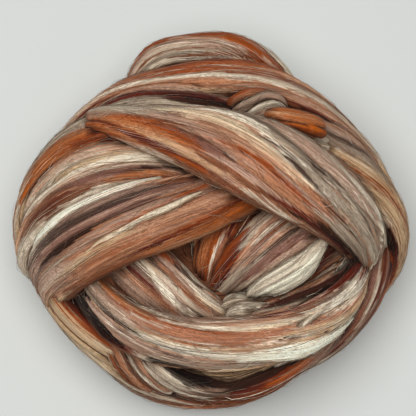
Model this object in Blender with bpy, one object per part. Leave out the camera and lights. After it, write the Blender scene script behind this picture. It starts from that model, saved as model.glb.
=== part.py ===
"""Wool roving: one length of streaky combed wool wound into a loose, nested ball.

The ball is one soft solid. Its flat bands of wool, called laps here, cross and tuck
under each other as in the photograph, and a few plain turns close its sides and
underside. Tables are in millimetres, seen from above: +X is right, +Y is away from
the viewer and +Z is up. The origin lies on the small flat underside, below the
middle of the ball.
"""

import math

import bmesh
import bpy
import numpy as np

MM = 0.001

# Filled heart of the ball, on which all laps lie (mm).
# It is egg-shaped from above, longer behind its middle than in front of it.
HEART_MIDDLE = (0.0, -14.0, 46.0)
HEART_RADII = (82.0, 62.0, 46.0)
HEART_BACK_RADIUS = 78.0

# Well in the top of the heart, where the inner laps dive under (mm).
WELL_MIDDLE = (8.0, -24.0)
WELL_RADII = (58.0, 36.0)
WELL_DEPTH = 26.0

# Roundness that turns each lap's flat side outwards (mm).
BELLY_RADII = (98.0, 92.0, 55.0)
BELLY_HEIGHT = 45.0

# The laps in the order they were laid, a row for each section along the band.
# Columns: x, y, z, width, thickness of the section (mm).
LAPS = {
    "back_lobe": (
        (-37, 33, 24, 16, 12), (-42, 51, 34, 24, 14), (-38, 67, 44, 28, 16), (-28, 81, 50, 31, 18),
        (-7, 87, 52, 31, 18), (15, 84, 51, 29, 18), (30, 75, 45, 26, 16), (41, 61, 34, 22, 14),
        (38, 41, 24, 16, 12),
    ),
    "upper_arc": (
        (-68, 7, 26, 14, 10), (-79, 26, 38, 16, 12), (-66, 46, 50, 18, 14), (-47, 58, 62, 23, 16),
        (-22, 63, 72, 25, 16), (4, 65, 76, 26, 16), (27, 62, 74, 26, 16), (47, 53, 68, 24, 16),
        (67, 37, 58, 24, 16), (81, 18, 48, 22, 16), (90, -4, 40, 20, 16), (84, -25, 32, 18, 16),
        (68, -41, 26, 16, 12), (50, -37, 24, 14, 10),
    ),
    "silver_arc": (
        (-62, -35, 24, 12, 10), (-82, -29, 31, 15, 12), (-92, -11, 40, 16, 14),
        (-90, 11, 52, 20, 14), (-77, 29, 64, 23, 15), (-57, 41, 74, 24, 16), (-36, 49, 80, 24, 16),
        (-16, 52, 82, 24, 16), (6, 50, 79, 22, 16), (26, 45, 72, 20, 14),
    ),
    "right_shoulder": (
        (25, 49, 64, 18, 14), (43, 41, 74, 24, 16), (61, 29, 72, 28, 18), (78, 13, 62, 30, 18),
        (89, -5, 52, 27, 18), (89, -21, 40, 22, 16), (79, -34, 30, 18, 14), (60, -37, 26, 14, 10),
    ),
    "right_under": (
        (59, 36, 50, 16, 12), (70, 26, 50, 20, 14), (79, 8, 46, 22, 16), (84, -11, 42, 22, 16),
        (80, -31, 34, 22, 16), (70, -48, 28, 20, 16), (54, -62, 24, 18, 14), (29, -62, 22, 14, 10),
    ),
    "left_upper_sash": (
        (-78, -25, 30, 18, 12), (-92, -16, 38, 24, 14), (-87, -2, 54, 28, 15),
        (-73, 11, 70, 34, 16), (-55, 18, 80, 36, 18), (-35, 20, 85, 34, 18), (-13, 17, 84, 30, 18),
        (6, 10, 76, 24, 16), (22, 3, 62, 20, 14),
    ),
    "left_sash": (
        (35, 20, 70, 26, 16), (13, 11, 82, 28, 18), (-8, 2, 89, 32, 20), (-30, -5, 93, 36, 22),
        (-50, -12, 90, 37, 22), (-64, -18, 81, 38, 22), (-76, -24, 67, 37, 20),
        (-82, -30, 52, 32, 18), (-78, -38, 38, 26, 14), (-60, -39, 30, 16, 10),
    ),
    "diagonal": (
        (-62, 45, 74, 10, 8), (-51, 43, 84, 13, 11), (-35, 38, 91, 20, 15), (-15, 33, 96, 29, 18),
        (3, 28, 99, 37, 20), (23, 20, 101, 41, 22), (42, 10, 98, 40, 22), (59, 0, 91, 35, 22),
        (71, -9, 79, 30, 20), (75, -17, 64, 24, 18), (69, -26, 50, 18, 14),
    ),
    "inner_left": (
        (-57, -6, 66, 26, 16), (-41, -23, 74, 32, 16), (-26, -37, 76, 32, 16),
        (-12, -48, 71, 28, 16), (5, -55, 63, 22, 14), (24, -57, 54, 20, 12),
    ),
    "centre_fan": (
        (68, -2, 60, 36, 16), (50, -11, 72, 42, 18), (34, -18, 75, 41, 20), (19, -26, 71, 33, 18),
        (7, -33, 61, 21, 14), (-3, -41, 48, 12, 10),
    ),
    "well_strand": (
        (13, 11, 72, 32, 12), (6, -2, 76, 32, 12), (0, -17, 71, 24, 12), (-3, -31, 60, 13, 10),
        (-4, -41, 48, 8, 8),
    ),
    "lower_crescent": (
        (-63, -22, 56, 18, 12), (-62, -35, 65, 20, 14), (-48, -51, 74, 23, 16),
        (-27, -62, 79, 24, 17), (-4, -66, 81, 24, 17), (20, -64, 81, 25, 17), (42, -57, 79, 28, 18),
        (58, -44, 74, 28, 18), (68, -29, 66, 22, 16), (68, -16, 56, 16, 12),
    ),
    "under_crescent": (
        (-49, -43, 56, 14, 12), (-37, -59, 62, 16, 12), (-25, -73, 62, 18, 14),
        (-11, -80, 58, 18, 14), (9, -82, 56, 18, 14), (30, -76, 58, 18, 14), (50, -64, 58, 18, 14),
        (65, -47, 56, 16, 12),
    ),
    "lower_left_tan": (
        (-68, -6, 26, 14, 12), (-87, -15, 28, 17, 14), (-80, -34, 34, 19, 14),
        (-68, -51, 36, 20, 14), (-53, -65, 38, 20, 14), (-38, -76, 36, 20, 14),
        (-17, -82, 32, 20, 14), (6, -83, 28, 20, 14), (32, -76, 24, 18, 14), (45, -57, 22, 14, 10),
    ),
    "lower_brown": (
        (-67, -35, 48, 18, 14), (-54, -53, 50, 22, 15), (-38, -67, 49, 22, 15),
        (-19, -78, 45, 22, 15), (4, -83, 41, 22, 15), (25, -80, 41, 22, 15), (44, -70, 43, 22, 15),
        (61, -55, 46, 20, 15), (72, -36, 51, 18, 14), (77, -21, 52, 16, 12),
    ),
    "bottom_rust": (
        (-52, -47, 20, 12, 10), (-51, -65, 20, 14, 12), (-40, -75, 19, 17, 13),
        (-24, -82, 18, 18, 14), (-2, -84, 18, 18, 14), (19, -81, 18, 18, 14), (41, -72, 20, 18, 14),
        (60, -61, 22, 18, 14), (72, -43, 24, 18, 14), (60, -24, 26, 12, 10),
    ),
    "inner_hem": (
        (72, -22, 58, 12, 10), (61, -33, 68, 14, 12), (43, -43, 72, 15, 12), (26, -49, 72, 14, 12),
        (10, -53, 70, 12, 11), (-4, -56, 64, 10, 10),
    ),
    "orange_tuck": (
        (24, 45, 80, 10, 8), (33, 42, 87, 12, 10), (43, 40, 87, 12, 10), (52, 39, 82, 12, 10),
        (56, 40, 70, 11, 8),
    ),
    "twisted_tuck": (
        (5, 54, 72, 8, 8), (11, 55, 81, 12, 10), (21, 54, 86, 14, 11), (30, 52, 85, 13, 10),
        (36, 49, 76, 10, 8),
    ),
}

# Plain turns round the sides and underside.
# Columns: tilt and heading of the turn (degrees), its shift from the middle
# as a part of the heart's radius, width and thickness (mm).
TURNS = (
    (0, 0, -0.45, 30, 16),
    (12, 40, -0.18, 32, 16),
    (14, 160, -0.24, 32, 16),
    (16, 280, -0.22, 32, 16),
    (38, 20, -0.58, 32, 14),
    (40, 140, -0.56, 32, 14),
    (36, 255, -0.60, 32, 14),
    (62, 75, -0.80, 34, 12),
    (66, 310, -0.78, 34, 12),
)

# Sections swept along a lap and a turn, and points round each section.
LAP_STEPS = 72
TURN_STEPS = 96
SECTION_SIDES = 16

# Part of a band's length over which its outward direction is averaged.
FRAME_SMOOTHING = 0.05

# Extra depth under each band, down to the wool that it lies on (mm).
BAND_ROOT = 12.0

# Grid on which the laps fuse into one body (mm), and the finish of its surface.
FUSE_GRID = 2.6
SURFACE_SMOOTHING = 0.5
SURFACE_PASSES = 2
SURFACE_TRIANGLES = 10200

# Block below the floor plane that trims the ball's flat spot (mm).
FLOOR_DEPTH = 60.0
FLOOR_REACH = 260.0

WOOL_COLOUR = (0.42, 0.29, 0.22, 1.0)
WOOL_ROUGHNESS = 0.85


def clear_scene():
    for thing in list(bpy.data.objects):
        bpy.data.objects.remove(thing, do_unlink=True)


def heart_points(directions):
    """Turn unit directions, one a row, into points on the heart's surface (mm)."""
    spots = np.asarray(directions, float) * HEART_RADII
    behind = spots[:, 1] > 0
    spots[behind, 1] *= HEART_BACK_RADIUS / HEART_RADII[1]
    return spots + HEART_MIDDLE


def blend_sections(rows, steps):
    """Return `steps` sections on a smooth curve through the rows of a lap."""
    points = np.asarray(rows, float)
    spans = np.linalg.norm(np.diff(points[:, :3], axis=0), axis=1)
    knots = np.concatenate(([0.0], np.cumsum(np.sqrt(spans))))
    slopes = np.gradient(points, knots, axis=0)
    at = np.linspace(0.0, knots[-1], steps)
    left = np.clip(np.searchsorted(knots, at, side="right") - 1, 0, len(knots) - 2)
    width = (knots[left + 1] - knots[left])[:, None]
    t = (at - knots[left])[:, None] / width
    start, end = points[left], points[left + 1]
    go, come = slopes[left] * width, slopes[left + 1] * width
    return (
        start * (1 + 2 * t) * (1 - t) ** 2
        + go * t * (1 - t) ** 2
        + end * t * t * (3 - 2 * t)
        + come * t * t * (t - 1)
    )


def unit(vectors):
    return vectors / np.linalg.norm(vectors, axis=1, keepdims=True)


def soften(vectors, spread):
    """Average each row with its neighbours, so a band never flips over."""
    reach = int(3 * spread)
    weights = np.exp(-0.5 * (np.arange(-reach, reach + 1) / spread) ** 2)
    weights /= weights.sum()
    padded = np.pad(vectors, ((reach, reach), (0, 0)), mode="edge")
    columns = [np.convolve(padded[:, axis], weights, mode="valid") for axis in range(3)]
    return np.stack(columns, axis=1)


def band_frames(centres):
    """Return the outward and sideways directions of a band along its centres."""
    along = unit(np.gradient(centres, axis=0))
    belly = np.asarray(BELLY_RADII)
    out = unit((centres - (0.0, 0.0, BELLY_HEIGHT)) / belly**2)
    out = out - (out * along).sum(axis=1, keepdims=True) * along
    out = soften(out, FRAME_SMOOTHING * len(centres))
    out = unit(out - (out * along).sum(axis=1, keepdims=True) * along)
    return out, np.cross(along, out)


def add_band(mesh, centres, widths, thicknesses):
    """Sweep a closed body of oval sections, deeper on their inner side."""
    out, side = band_frames(centres)
    angles = np.linspace(0.0, 2 * math.pi, SECTION_SIDES, endpoint=False)
    rings = []
    for centre, o, s, width, thick in zip(centres, out, side, widths, thicknesses):
        ring = []
        for angle in angles:
            rise = math.cos(angle)
            depth = thick / 2 if rise > 0 else thick / 2 + BAND_ROOT
            point = centre + s * (width / 2 * math.sin(angle)) + o * (depth * rise)
            ring.append(mesh.verts.new(point * MM))
        rings.append(ring)
    for ring, following in zip(rings, rings[1:]):
        for i in range(SECTION_SIDES):
            j = (i + 1) % SECTION_SIDES
            mesh.faces.new((ring[i], ring[j], following[j], following[i]))
    mesh.faces.new(rings[0][::-1])
    mesh.faces.new(rings[-1])


def add_lap(mesh, rows):
    sections = blend_sections(rows, LAP_STEPS)
    add_band(mesh, sections[:, :3], sections[:, 3], sections[:, 4])


def turn_centres(tilt, heading, shift):
    """Return the closed path of a plain turn that lies on the heart."""
    angles = np.linspace(0.0, 2 * math.pi, TURN_STEPS)
    radius = math.sqrt(1.0 - shift**2)
    level = np.full_like(angles, shift)
    ring = np.stack([radius * np.cos(angles), radius * np.sin(angles), level], axis=1)
    a, b = math.radians(tilt), math.radians(heading)
    tip = np.array([[1, 0, 0], [0, math.cos(a), -math.sin(a)], [0, math.sin(a), math.cos(a)]])
    spin = np.array([[math.cos(b), -math.sin(b), 0], [math.sin(b), math.cos(b), 0], [0, 0, 1]])
    return heart_points(ring @ tip.T @ spin.T)


def add_turn(mesh, tilt, heading, shift, width, thick):
    centres = turn_centres(tilt, heading, shift)
    count = len(centres)
    add_band(mesh, centres, np.full(count, float(width)), np.full(count, float(thick)))


def add_heart(mesh):
    made = bmesh.ops.create_icosphere(mesh, subdivisions=5, radius=1.0)
    for vert in made["verts"]:
        spot = heart_points([vert.co])[0]
        if vert.co.z > 0:
            reach = np.sum(((spot[:2] - WELL_MIDDLE) / WELL_RADII) ** 2)
            spot[2] -= WELL_DEPTH * math.exp(-(reach**2)) * vert.co.z
        vert.co = spot * MM


def object_from(mesh, name):
    data = bpy.data.meshes.new(name)
    mesh.to_mesh(data)
    mesh.free()
    thing = bpy.data.objects.new(name, data)
    bpy.context.scene.collection.objects.link(thing)
    return thing


def hide_guide(thing):
    thing.hide_render = True
    thing.display_type = "WIRE"


def make_wind_guide():
    """Make the guide of heart, turns and laps, fused on a fine grid."""
    mesh = bmesh.new()
    add_heart(mesh)
    for row in TURNS:
        add_turn(mesh, *row)
    for rows in LAPS.values():
        add_lap(mesh, rows)
    guide = object_from(mesh, "wind_guide")
    fuse = guide.modifiers.new("fuse laps", "REMESH")
    fuse.mode = "VOXEL"
    fuse.voxel_size = FUSE_GRID * MM
    hide_guide(guide)
    return guide


def make_floor_cutter():
    """Make the block that trims the underside flat at the floor."""
    mesh = bmesh.new()
    bmesh.ops.create_cube(mesh, size=1.0)
    for vert in mesh.verts:
        vert.co.x *= FLOOR_REACH * MM
        vert.co.y *= FLOOR_REACH * MM
        vert.co.z = (vert.co.z - 0.5) * FLOOR_DEPTH * MM
    cutter = object_from(mesh, "floor_cutter")
    hide_guide(cutter)
    return cutter


def islands(mesh):
    """Return the separate shells of a mesh as lists of vertices."""
    left = set(mesh.verts)
    shells = []
    while left:
        queue = [left.pop()]
        shell = []
        while queue:
            vert = queue.pop()
            shell.append(vert)
            for edge in vert.link_edges:
                other = edge.other_vert(vert)
                if other in left:
                    left.remove(other)
                    queue.append(other)
        shells.append(shell)
    return shells


def make_fused_ball(guide):
    """Copy the guide's outer shell, without any pocket sealed inside it."""
    graph = bpy.context.evaluated_depsgraph_get()
    data = bpy.data.meshes.new_from_object(guide.evaluated_get(graph))
    mesh = bmesh.new()
    mesh.from_mesh(data)
    shells = sorted(islands(mesh), key=len)
    pockets = [vert for shell in shells[:-1] for vert in shell]
    bmesh.ops.delete(mesh, geom=pockets, context="VERTS")
    bmesh.ops.triangulate(mesh, faces=mesh.faces[:])
    return object_from(mesh, "roving_ball")


def wool_material():
    material = bpy.data.materials.new("combed_wool")
    material.use_nodes = True
    shader = material.node_tree.nodes["Principled BSDF"]
    shader.inputs["Base Color"].default_value = WOOL_COLOUR
    shader.inputs["Roughness"].default_value = WOOL_ROUGHNESS
    shader.inputs["Metallic"].default_value = 0.0
    return material


def make_roving_ball():
    guide = make_wind_guide()
    cutter = make_floor_cutter()
    ball = make_fused_ball(guide)
    soft = ball.modifiers.new("soften creases", "SMOOTH")
    soft.factor = SURFACE_SMOOTHING
    soft.iterations = SURFACE_PASSES
    thin = ball.modifiers.new("coarser surface", "DECIMATE")
    thin.ratio = SURFACE_TRIANGLES / len(ball.data.polygons)
    trim = ball.modifiers.new("flat underside", "BOOLEAN")
    trim.operation = "DIFFERENCE"
    trim.object = cutter
    ball.data.shade_smooth()
    ball.data.materials.append(wool_material())
    return ball


def main():
    clear_scene()
    make_roving_ball()


if __name__ == "__main__":
    main()
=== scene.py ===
"""The looks of a wool roving: streaky combed wool wound into a loose, nested ball.

Wide laps of wool cross and tuck under each other over a few plain turns. Each lap is
a bundle of slivers, combed strands of one colour, with fine wisps lying on it, and
loose hairs stand off the ball. Tables are in millimetres, seen from above: +X is
right, +Y is away from the viewer and +Z is up, as in the frame that is dressed here.
"""

import math
from collections import namedtuple

import bpy
import numpy as np
from bpy.props import FloatProperty, FloatVectorProperty, PointerProperty
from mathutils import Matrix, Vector
from mathutils.bvhtree import BVHTree


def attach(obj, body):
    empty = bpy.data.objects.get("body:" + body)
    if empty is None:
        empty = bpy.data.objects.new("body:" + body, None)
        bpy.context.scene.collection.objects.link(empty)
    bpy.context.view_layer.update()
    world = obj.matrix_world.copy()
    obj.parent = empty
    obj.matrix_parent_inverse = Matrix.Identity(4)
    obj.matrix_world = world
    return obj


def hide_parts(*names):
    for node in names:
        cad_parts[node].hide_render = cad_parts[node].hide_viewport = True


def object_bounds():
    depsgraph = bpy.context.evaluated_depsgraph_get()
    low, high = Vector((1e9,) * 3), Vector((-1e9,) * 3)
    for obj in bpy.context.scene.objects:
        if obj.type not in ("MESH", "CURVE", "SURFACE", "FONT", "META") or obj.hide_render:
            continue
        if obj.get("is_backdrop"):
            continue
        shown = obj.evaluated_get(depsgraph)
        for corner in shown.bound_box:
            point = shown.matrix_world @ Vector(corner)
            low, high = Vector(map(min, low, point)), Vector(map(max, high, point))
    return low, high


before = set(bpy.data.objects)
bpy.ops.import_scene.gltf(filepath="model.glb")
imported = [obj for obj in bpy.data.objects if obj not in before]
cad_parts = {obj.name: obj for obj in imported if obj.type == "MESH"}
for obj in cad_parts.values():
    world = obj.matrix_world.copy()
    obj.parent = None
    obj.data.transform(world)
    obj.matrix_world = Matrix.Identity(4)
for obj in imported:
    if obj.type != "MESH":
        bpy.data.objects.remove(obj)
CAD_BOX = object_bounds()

bl_info = {
    "name": "Wool Roving Ball",
    "version": (1, 0, 0),
    "blender": (4, 5, 0),
    "location": "3D View > Sidebar > Roving",
    "description": "Lays the combed laps, wisps and loose hairs of a ball of wool roving",
    "category": "Add Mesh",
}

MM = 0.001

# Heart of the ball, on which all laps lie (mm), and the well in its top.
HEART_MIDDLE = (0.0, -14.0, 46.0)
HEART_RADII = (82.0, 62.0, 46.0)
HEART_BACK_RADIUS = 78.0
WELL_MIDDLE = (8.0, -24.0)
WELL_RADII = (58.0, 36.0)
WELL_DEPTH = 26.0

# Roundness that turns each lap's flat side outwards (mm).
BELLY_RADII = (98.0, 92.0, 55.0)
BELLY_HEIGHT = 45.0

# Part of a band's length over which its outward direction is averaged.
FRAME_SMOOTHING = 0.05

# Extra depth under each band, down to the wool that it lies on (mm).
BAND_ROOT = 12.0

# The laps in the order they were laid, a row for each section along the band.
# Columns: x, y, z, width, thickness of the section (mm).
LAPS = {
    "back_lobe": (
        (-32, 33, 24, 16, 12), (-37, 51, 34, 22, 14), (-35, 67, 44, 26, 16), (-27, 81, 50, 30, 18),
        (-8, 86, 52, 30, 18), (13, 85, 51, 28, 18), (28.5, 77, 45, 24, 16), (37, 63, 34, 20, 14),
        (34, 41, 24, 16, 12),
    ),
    "upper_arc": (
        (-68, 7, 26, 14, 10), (-79, 26, 38, 16, 12), (-66, 46, 50, 18, 14), (-47, 58, 62, 23, 16),
        (-22, 63, 72, 25, 16), (4, 65, 76, 26, 16), (27, 62, 74, 26, 16), (47, 53, 68, 24, 16),
        (67, 37, 58, 24, 16), (81, 18, 48, 22, 16), (90, -4, 40, 20, 16), (84, -25, 32, 18, 16),
        (68, -41, 26, 16, 12), (50, -37, 24, 14, 10),
    ),
    "silver_arc": (
        (-62, -35, 24, 12, 10), (-82, -29, 31, 15, 12), (-92, -10, 40, 15, 14),
        (-90, 11, 52, 19, 14), (-76, 28, 64, 22, 15), (-56, 40, 74, 24, 16), (-36, 49, 80, 24, 16),
        (-16, 52, 82, 24, 16), (6, 50, 79, 22, 16), (26, 45, 72, 20, 14),
    ),
    "right_shoulder": (
        (25, 49, 64, 18, 14), (43, 41, 74, 24, 16), (61, 29, 72, 28, 18), (78, 13, 62, 30, 18),
        (88, -5, 52, 27, 18), (87, -20, 40, 22, 16), (77, -33, 30, 18, 14), (60, -37, 26, 14, 10),
    ),
    "right_under": (
        (59, 36, 50, 16, 12), (70, 26, 50, 20, 14), (79, 8, 46, 22, 16), (83, -11, 42, 22, 16),
        (76.5, -29.5, 34, 22, 16), (67, -46, 28, 20, 16), (51, -58.5, 24, 18, 14), (29, -62, 22, 14, 10),
    ),
    "left_upper_sash": (
        (-78, -25, 30, 18, 12), (-91, -16, 38, 24, 14), (-87, -2, 54, 28, 15),
        (-73, 11, 70, 34, 16), (-55, 18, 80, 36, 18), (-35, 20, 85, 34, 18), (-13, 17, 84, 30, 18),
        (6, 10, 76, 24, 16), (22, 3, 62, 20, 14),
    ),
    "left_sash": (
        (35, 20, 70, 26, 16), (13, 11, 82, 28, 18), (-8, 2, 89, 32, 20), (-30, -5, 93, 36, 22),
        (-50, -12, 90, 37, 22), (-64, -18, 81, 38, 22), (-75, -24, 67, 36, 20),
        (-80, -30, 52, 31, 18), (-76, -37, 38, 26, 14), (-60, -39, 30, 16, 10),
    ),
    "diagonal": (
        (-62, 45, 74, 10, 8), (-51, 43, 84, 13, 11), (-35, 38, 91, 20, 15), (-15, 33, 96, 29, 18),
        (3, 28, 99, 37, 20), (23, 20, 101, 41, 22), (42, 10, 98, 40, 22), (59, 0, 91, 35, 22),
        (71, -9, 79, 30, 20), (75, -17, 64, 24, 18), (69, -26, 50, 18, 14),
    ),
    "inner_left": (
        (-57, -6, 66, 26, 16), (-41, -23, 74, 32, 16), (-26, -37, 76, 32, 16),
        (-12, -48, 71, 28, 16), (5, -55, 63, 22, 14), (24, -57, 54, 20, 12),
    ),
    "centre_fan": (
        (68, -2, 60, 36, 16), (50, -11, 72, 42, 18), (34, -18, 75, 41, 20), (19, -26, 71, 33, 18),
        (7, -33, 61, 21, 14), (-3, -41, 48, 12, 10),
    ),
    "well_strand": (
        (13, 11, 72, 32, 12), (6, -2, 76, 32, 12), (0, -17, 71, 24, 12), (-3, -31, 60, 13, 10),
        (-4, -41, 48, 8, 8),
    ),
    "lower_crescent": (
        (-63, -22, 56, 18, 12), (-62, -35, 65, 20, 14), (-48, -51, 74, 23, 16),
        (-27, -62, 79, 24, 17), (-4, -66, 81, 24, 17), (20, -64, 81, 25, 17), (42, -57, 79, 28, 18),
        (58, -44, 74, 28, 18), (68, -29, 66, 22, 16), (68, -16, 56, 16, 12),
    ),
    "under_crescent": (
        (-49, -43, 56, 14, 12), (-37, -59, 62, 16, 12), (-25, -73, 62, 18, 14),
        (-11, -80, 58, 18, 14), (9, -82, 56, 18, 14), (30, -76, 58, 18, 14), (50, -64, 58, 18, 14),
        (65, -47, 56, 16, 12),
    ),
    "lower_left_tan": (
        (-68, -6, 26, 14, 12), (-87, -15, 28, 17, 14), (-80, -34, 34, 19, 14),
        (-68, -51, 36, 20, 14), (-53, -65, 38, 20, 14), (-38, -76, 36, 20, 14),
        (-17, -82, 32, 20, 14), (6, -83, 28, 20, 14), (31, -74, 24, 16, 12), (42, -52, 24, 8, 8),
    ),
    "lower_brown": (
        (-67, -35, 48, 18, 14), (-54, -53, 50, 22, 15), (-38, -67, 49, 22, 15),
        (-19, -78, 45, 22, 15), (4, -83, 41, 22, 15), (24, -79.5, 41, 22, 15), (42, -67.5, 43, 22, 15),
        (59, -52.5, 46, 20, 15), (72, -36, 51, 18, 14), (77, -21, 52, 16, 12),
    ),
    "bottom_rust": (
        (-52, -47, 20, 12, 10), (-51, -65, 20, 14, 12), (-40, -75, 19, 17, 13),
        (-24, -82, 18, 18, 14), (-2, -84, 18, 18, 14), (19, -80, 18, 18, 14), (38, -68.5, 20, 17, 14),
        (57, -57, 22, 18, 14), (69, -41, 24, 18, 14), (60, -24, 26, 12, 10),
    ),
    "inner_hem": (
        (72, -22, 58, 12, 10), (61, -33, 68, 14, 12), (43, -43, 72, 15, 12), (26, -49, 72, 14, 12),
        (10, -53, 70, 12, 11), (-4, -56, 64, 10, 10),
    ),
    "orange_tuck": (
        (24, 43, 84, 8, 7), (31, 41.5, 94, 10, 8), (40, 40, 95, 10, 8), (48, 38, 93, 9, 8),
        (51, 37.5, 82, 8, 7),
    ),
    "twisted_tuck": (
        (5, 52, 70, 6, 6), (11, 52, 79, 9, 8), (21, 51, 84, 10, 8), (30, 49, 83, 9, 8),
        (36, 47, 74, 8, 7),
    ),
}

# Plain turns round the sides and underside.
# Columns: tilt and heading of the turn (degrees), its shift from the middle
# as a part of the heart's radius, width and thickness (mm).
TURNS = (
    (0, 0, -0.45, 30, 16),
    (12, 40, -0.18, 32, 16),
    (14, 160, -0.24, 32, 16),
    (16, 280, -0.22, 32, 16),
    (38, 20, -0.58, 32, 14),
    (40, 140, -0.56, 32, 14),
    (36, 255, -0.60, 32, 14),
    (62, 75, -0.80, 34, 12),
    (66, 310, -0.78, 34, 12),
)
# Small strands that show in the tucks, too slight for the solids.
STRANDS = {
    "tuck_strand_1": (
        (7, 47, 76, 4, 4), (9, 51, 84, 5, 5), (15, 54, 88, 5.5, 5), (21, 55, 88, 5.5, 5),
        (29, 53, 86, 5, 5), (36, 50, 78, 4, 4),
    ),
    "tuck_strand_2": (
        (8, 44, 80, 4, 4), (12, 47, 88, 5.5, 5), (19, 50, 91, 6.5, 6), (26, 53, 90, 6.5, 6),
        (32, 52, 88, 6, 5), (36, 48, 80, 4, 4),
    ),
    "tuck_strand_3": (
        (12, 42, 82, 4, 4), (17, 44, 90, 5.5, 5), (23, 47, 92, 6.5, 6), (29, 49, 91, 6.5, 6),
        (34, 48, 86, 5.5, 5), (36, 45, 78, 4, 4),
    ),
    "tuck_strand_4": (
        (17, 41, 82, 4, 4), (21, 43, 90, 5, 5), (27, 45, 91, 6, 5), (32, 45, 88, 5.5, 5),
        (37, 44, 80, 4, 4),
    ),
    "tuck_tuft": (
        (41, 39, 74, 5, 5), (46, 33, 84, 8, 7), (52, 32, 84, 9, 7), (57, 31, 78, 7, 6),
        (62, 27, 70, 5, 5),
    ),
    "hem_fleece": (
        (69, -26, 66, 7, 7), (62, -34, 77, 10, 7), (52, -41, 81, 11, 7), (40, -46, 82, 11, 7),
        (29, -49, 80, 9, 7), (19, -51, 77, 8, 6), (9, -53, 74, 7, 6), (1, -55, 70, 6, 5),
    ),
    "cross_strand": (
        (70, -32, 74, 2.5, 2.5), (66, -39, 80, 3.5, 3), (61, -44, 83, 4, 3), (55, -47, 86, 4, 3),
        (49, -51, 88, 4, 3), (43, -56, 89, 4, 3), (37, -62, 88, 4, 3), (31, -65, 88, 4, 3),
        (24, -68, 87, 3, 3), (16, -71, 84, 2.5, 2.5),
    ),
    "sash_strand": (
        (-60, -24, 95, 2, 2.5), (-52, -19, 100, 3.5, 3), (-46, -16, 101, 4.5, 3),
        (-34, -9, 103, 4.5, 3), (-22, -4, 104, 4, 3), (-11, 2, 101, 3, 3), (-4, 6, 97, 2, 2.5),
    ),
    "hem_core": (
        (6, -53, 70, 4, 4), (9, -49, 75, 5.5, 5), (14, -48, 78, 7, 6), (22, -48, 78, 7, 6),
        (30, -47, 75, 6, 6), (39, -44, 70, 5, 5),
    ),
    "fan_strand": (
        (57, -10, 74, 4, 3), (54, -15, 80, 6, 4), (50, -20, 83, 8, 5), (45, -26, 84, 11, 5),
        (39, -31, 83, 13, 5), (32, -35, 81, 13, 5), (25, -38, 78, 11, 5), (19, -41, 74, 7, 4),
        (16, -43, 67, 4, 4),
    ),
    "nib": (
        (-3, -54, 68, 3.5, 4), (2, -50, 72, 4, 4), (6, -46, 74, 4.5, 4), (13, -44, 75, 5, 4),
        (21, -45, 73, 5, 4), (29, -48, 68, 3.5, 4),
    ),
    "fall_strand_1": (
        (-57, -44, 54, 8, 4), (-52, -54, 60, 13, 5), (-48, -64, 62, 15, 5), (-44, -72, 58, 15, 5),
        (-38, -79, 50, 14, 5), (-30, -84, 41, 10, 5),
    ),
    "fall_strand_2": (
        (-50, -50, 56, 8, 4), (-44, -60, 63, 13, 5), (-39, -67, 64, 15, 5), (-35, -74, 61, 15, 5),
        (-27, -81, 53, 14, 5), (-19, -85, 44, 10, 5),
    ),
    "fall_strand_3": (
        (-44, -56, 58, 7, 4), (-36, -65, 65, 11, 5), (-32, -71, 65, 13, 5), (-27, -77, 61, 13, 5),
        (-20, -82, 55, 12, 5), (-10, -85, 46, 9, 5),
    ),
}

# Wool colours that each lap is blended from, the commonest first. The darkest brown in some is brown wool
# with painted shade.
BLENDS = {
    "back_lobe": ("putty", "greyrose", "silver", "putty", "rosy", "chestnut", "cream"),
    "upper_arc": ("rosewood", "greyrose", "chestnut", "rosewood", "tan", "rosy"),
    "silver_arc": ("silver", "greyrose", "tan", "cream", "taupe"),
    "right_shoulder": ("tan", "greyrose", "putty", "rosy", "peach", "chestnut"),
    "right_under": ("rust", "maroon", "rust", "chestnut"),
    "left_upper_sash": ("silver", "rosy", "cream", "chestnut", "taupe", "silver"),
    "left_sash": ("rosewood", "rosy", "greyrose", "chestnut", "peachrose", "taupe"),
    "diagonal": ("rosewood", "rosy", "greyrose", "chestnut", "silver", "rosewood"),
    "inner_left": ("greyrose", "chestnut", "taupe", "cream", "silver"),
    "centre_fan": ("greyrose", "taupe", "mauve", "putty", "chestnut"),
    "well_strand": ("copper", "rust", "orange", "maroon", "copper"),
    "lower_crescent": ("rosy", "cream", "greyrose", "tan", "cream"),
    "under_crescent": ("brown_shade", "chestnut", "umber", "rust", "brown_shade"),
    "lower_left_tan": ("tan", "greyrose", "taupe", "tan", "copper"),
    "lower_brown": ("chestnut", "umber", "rosy", "greyrose", "brown_shade"),
    "bottom_rust": ("chestnut", "taupe", "rust", "greyrose", "copper"),
    "inner_hem": ("maroon", "brown_shade", "taupe", "peachrose"),
    "orange_tuck": ("orange", "copper", "rust"),
    "twisted_tuck": ("silver", "taupe", "greyrose"),
    "tuck_strand_1": ("rosewood", "greyrose", "rust"),
    "tuck_strand_2": ("greyrose", "putty", "silver", "cream"),
    "tuck_strand_3": ("putty", "silver", "cream"),
    "tuck_strand_4": ("putty", "cream", "greyrose"),
    "cross_strand": ("cream", "putty", "cream"),
    "sash_strand": ("peachcream", "peach", "cream"),
    "tuck_tuft": ("cream", "putty", "silver", "greyrose"),
    "hem_fleece": ("silver", "taupe", "char", "greyrose"),
    "hem_core": ("cream", "putty", "silver"),
    "fan_strand": ("ivory", "cream", "cream", "putty"),
    "nib": ("cream", "ivory", "putty"),
    "fall_strand_1": ("rosewood", "rust", "rosy", "chestnut"),
    "fall_strand_2": ("rosy", "chestnut", "umber", "greyrose"),
    "fall_strand_3": ("chestnut", "umber", "cream", "rosy"),
    "turn": ("rust", "rosy", "cream", "tan", "taupe", "greyrose", "copper", "chestnut"),
}
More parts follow.
